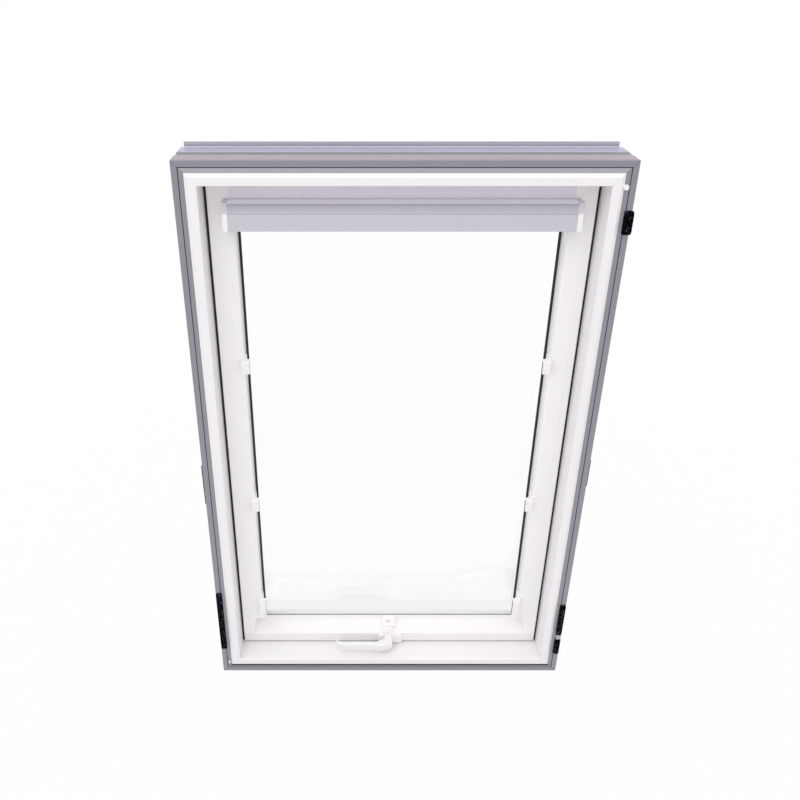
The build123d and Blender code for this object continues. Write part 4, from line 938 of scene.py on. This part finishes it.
class ROOFWINDOW_OT_hooks(bpy.types.Operator):
    """Blind hooks on the stiles: a rounded plate, a nose that turns down, and a leg"""
    bl_idname = "roofwindow.hooks"
    bl_label = "Blind hooks"

    def execute(self, context):
        stile_width = 46.7 * MM
        sash_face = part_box("sash_stile_left")[0].y
        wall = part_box("sash_stile_right")[1].x - stile_width
        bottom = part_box("sash_bottom_rail")[0].z
        standout, half_nose, nose_half_width, bend = 12 * MM, 1.4 * MM, 8 * MM, 3 * MM
        end_gap, reach_in, right_extra = 4.5 * MM, 3 * MM, 5 * MM
        front = sash_face - standout + half_nose
        run = np.linspace(0, 1, 9)
        angle = run * pi / 2
        shells = []

        # Each pair's middle above the sash's foot, and its height, in mm.
        for rise, height in ((111.5, 52.0), (404.5, 33.0), (733.5, 32.0)):
            z = bottom + rise * MM
            half = height / 2 * MM
            top = z + half - end_gap

            # The nose's path in (y, z): level off the wall, a quarter circle, and down.
            level = np.stack([sash_face - run * (sash_face - front - bend), 0 * run + top], axis=-1)
            curve = np.stack([front + bend * (1 - np.sin(angle)),
                              top - bend * (1 - np.cos(angle))], axis=-1)
            drop = height * MM - 2 * end_gap
            fall = np.stack([0 * run + front, top - bend - run * drop], axis=-1)
            line = np.vstack([level, curve[1:], fall[1:]])
            heading = np.gradient(line, axis=0)
            heading /= np.linalg.norm(heading, axis=1)[:, None]
            flat = np.zeros(len(line))
            path = np.stack([flat + wall - reach_in, line[:, 0], line[:, 1]], axis=-1)
            normal = np.stack([flat, -heading[:, 1], heading[:, 0]], axis=-1)
            side = np.tile([1.0, 0.0, 0.0], (len(line), 1))
            nose = swept(path, normal, side, flat + half_nose, flat + nose_half_width, 6, 28)

            plate = turned(slab(5 * MM, half, 3 * MM, edge(3 * MM, 0.9 * MM)), (wall, sash_face, z))
            leg = turned(slab(12 * MM, half - 3 * MM, 2 * MM, edge(2.5 * MM, 0.8 * MM)),
                         (wall, sash_face + 12 * MM, z), across=(0, -1, 0))

            # On the right the nose reaches further in over the glass.
            for points, extra in ((nose, right_extra), (plate, 0), (leg, 0)):
                shells.append(grid(points - np.array([extra, 0, 0])))
                shells.append(grid(points * np.array([-1, 1, 1])))
        add_piece("hooks", shells, "sash", "white_plastic", ["blind_hooks"])
        return {"FINISHED"}


def map_cloth(piece, places):
    """A map named cloth: a place in metres for each point, across and along the cloth."""
    layer = piece.data.uv_layers.new(name="cloth")
    corner = np.zeros(len(piece.data.loops), int)
    piece.data.loops.foreach_get("vertex_index", corner)
    layer.data.foreach_set("uv", places[corner].ravel())


class ROOFWINDOW_OT_blind_cloth(bpy.types.Operator):
    """Blind cloth as a fixed thin sheet; on the real blind it is drawn out as the bar is pulled
    down
    """
    bl_idname = "roofwindow.blind_cloth"
    bl_label = "Blind cloth"

    def execute(self, context):
        low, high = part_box("blind_cloth")
        y = (low.y + high.y) / 2
        x = low.x + (high.x - low.x) * np.linspace(0, 1, 61)
        z = low.z + (high.z - low.z) * np.linspace(0, 1, 49)
        points = np.stack(np.broadcast_arrays(x[None, :], np.array(y), z[:, None]), axis=-1)
        piece = build_piece("cloth", [grid(points, wrap=False)], finish_named("blind_fabric"), 60)
        map_cloth(piece, points.reshape(-1, 3)[:, [0, 2]] - [low.x, low.z])
        solid = piece.modifiers.new("thickness", "SOLIDIFY")
        solid.thickness = context.scene.roof_window_sizes.cloth_thickness
        solid.offset = 0
        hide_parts("blind_cloth")
        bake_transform(piece)
        return {"FINISHED"}


class ROOFWINDOW_OT_cloth_roll(bpy.types.Operator):
    """Wound cloth round its tube, with rings of wraps at its ends"""
    bl_idname = "roofwindow.cloth_roll"
    bl_label = "Cloth roll"

    def execute(self, context):
        low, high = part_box("blind_cloth_roll")
        _, axis_y, axis_z = middle_of(low, high)
        outer = (high.z - low.z) / 2
        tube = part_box("blind_tube")
        inner = (tube[1].z - tube[0].z) / 2

        # The ends step in and out from ring to ring, for five wraps.
        wraps, groove = 5, 0.25 * MM
        step = np.arange(2 * wraps + 1)
        half_length = high.x - groove * (step % 2)
        radius = outer - (outer - inner) * step / (2 * wraps)
        left = np.stack([-half_length, radius], axis=-1)
        profile = np.vstack([left[::-1] * [-1, 1], left])
        turn = np.linspace(0, 2 * pi, 96, endpoint=False)
        ring = np.stack([np.repeat(profile[:, :1], len(turn), axis=1),
                         axis_y + profile[:, 1:] * np.cos(turn),
                         axis_z + profile[:, 1:] * np.sin(turn)], axis=-1)
        ring = np.vstack([ring, ring[:1]])
        roll = add_piece("cloth_roll", [grid(ring, closed=(False, False))], "blind_roller",
                         "blind_fabric", ["blind_cloth_roll"], 50)
        flat = ring.reshape(-1, 3)
        around = np.arctan2(flat[:, 2] - axis_z, flat[:, 1] - axis_y) * outer
        map_cloth(roll, np.stack([flat[:, 0], around], axis=-1))
        return {"FINISHED"}


def seen_rays(tree):
    """1 for rays that show a surface to the camera, straight, mirrored or through glass."""
    seen = [tree.node("ShaderNodeLightPath", None, None, ray)
            for ray in ("Is Camera Ray", "Is Glossy Ray", "Is Transmission Ray")]
    return tree.math("MAXIMUM", tree.math("MAXIMUM", seen[0], seen[1]), seen[2])


def make_floor(colour):
    """A floor whose shown colour is white paper, a little duller near the window."""
    reach = np.linspace(-6, 6, 13)
    points = np.stack(np.broadcast_arrays(reach[None, :], reach[:, None], np.array(0.0)), axis=-1)
    paper = Finish("studio_floor", Roughness=0.9, Specular_IOR_Level=0.1)
    point, x, y, _ = paper.place()
    fibres = paper.noise(point, 4, 2)
    paper.give("Base Color", paper.mix(fibres * 0.02, colour, lighter(colour, 0.97)))
    near, far, dullest = 0.3, 3.2, 0.975
    away = paper.math("SQRT", x * x + y * y)
    bright = dullest + (1 - dullest) * paper.between(away, near, far)
    share = seen_rays(paper) * bright
    glow = paper.node("ShaderNodeEmission", None, {"Color": (1, 1, 1), "Strength": 1.0})
    shown = paper.node("ShaderNodeMixShader", None,
                       {0: share, 1: Field(paper, paper.shader.outputs[0]), 2: glow})
    paper.links.new(shown.socket, paper.output.inputs[0])
    build_piece("floor", [grid(points, wrap=False)], paper.material)


def make_sky(scene):
    """A sky that shows white, and lights the window a little stronger and less green."""
    strength, cast = 1.06, (1.0, 0.975, 0.995)
    world = bpy.data.worlds.new("studio")
    world.use_nodes = True
    scene.world = world
    sky = Tree(world.node_tree)
    inputs = {"Color": sky.mix(seen_rays(sky), cast, (1.0, 1.0, 1.0)),
              "Strength": seen_rays(sky) * (1 - strength) + strength}
    background = sky.node("ShaderNodeBackground", None, inputs)
    output = sky.nodes.new("ShaderNodeOutputWorld")
    sky.links.new(background.socket, output.inputs[0])


def make_lamp(scene, name, place, aim, size, power):
    """A square lamp that is turned from its place towards a point."""
    light = bpy.data.lights.new(name, "AREA")
    light.size = size
    light.energy = power
    lamp = bpy.data.objects.new(name, light)
    scene.collection.objects.link(lamp)
    lamp.location = place
    x, y, z = np.array(aim, float) - np.array(place, float)
    lamp.rotation_euler = (pi / 2 - np.arctan2(-z, np.hypot(x, y)), 0, np.arctan2(y, x) - pi / 2)


def make_camera(scene):
    """The camera, in front of the window and above it, looking down."""
    camera = bpy.data.cameras.new("camera")
    camera.lens = 36.65
    camera.sensor_width = 36
    camera.shift_x = 0.059
    viewer = bpy.data.objects.new("camera", camera)
    scene.collection.objects.link(viewer)
    viewer.location = (-86.5 * MM, FRAME_FACE_Y - 1369.75 * MM, 1486 * MM)
    viewer.rotation_euler = (radians(90 - 28.97), 0, 0)
    scene.camera = viewer


class ROOFWINDOW_OT_stage(bpy.types.Operator):
    """Pale floor, soft lamp, sky and the camera"""
    bl_idname = "roofwindow.stage"
    bl_label = "Stage"

    def execute(self, context):
        scene = context.scene
        scene.view_settings.view_transform = "Standard"
        make_floor(scene.roof_window_colours.floor)
        make_sky(scene)
        make_lamp(scene, "key_lamp", (-2.0, -2.5, 5.2), aim=(0, 0, 0.6), size=5.0, power=62)
        make_camera(scene)
        return {"FINISHED"}


OPERATORS = (ROOFWINDOW_OT_finishes, ROOFWINDOW_OT_lever, ROOFWINDOW_OT_base_plate,
             ROOFWINDOW_OT_latch_pad, ROOFWINDOW_OT_side_blocks, ROOFWINDOW_OT_clip,
             ROOFWINDOW_OT_hooks, ROOFWINDOW_OT_blind_cloth, ROOFWINDOW_OT_cloth_roll,
             ROOFWINDOW_OT_stage)


class ROOFWINDOW_PT_panel(bpy.types.Panel):
    """Lists the window's pieces, colours and sizes"""
    bl_label = "Roof window"
    bl_idname = "ROOFWINDOW_PT_panel"
    bl_space_type = "VIEW_3D"
    bl_region_type = "UI"
    bl_category = "Roof window"

    def draw(self, context):
        layout = self.layout
        for group in (context.scene.roof_window_colours, context.scene.roof_window_sizes):
            for name in group.__annotations__:
                layout.prop(group, name)
        for operator in OPERATORS:
            layout.operator(operator.bl_idname)


CLASSES = (RoofWindowColours, RoofWindowSizes, *OPERATORS, ROOFWINDOW_PT_panel)


def register():
    """Add the classes and their settings to Blender."""
    for item in CLASSES:
        bpy.utils.register_class(item)
    bpy.types.Scene.roof_window_colours = bpy.props.PointerProperty(type=RoofWindowColours)
    bpy.types.Scene.roof_window_sizes = bpy.props.PointerProperty(type=RoofWindowSizes)


def unregister():
    """Take the classes and their settings out of Blender."""
    del bpy.types.Scene.roof_window_sizes
    del bpy.types.Scene.roof_window_colours
    for item in reversed(CLASSES):
        bpy.utils.unregister_class(item)


def main():
    register()
    for operator in OPERATORS:
        group, name = operator.bl_idname.split(".")
        getattr(getattr(bpy.ops, group), name)()


if __name__ == "__main__":
    main()
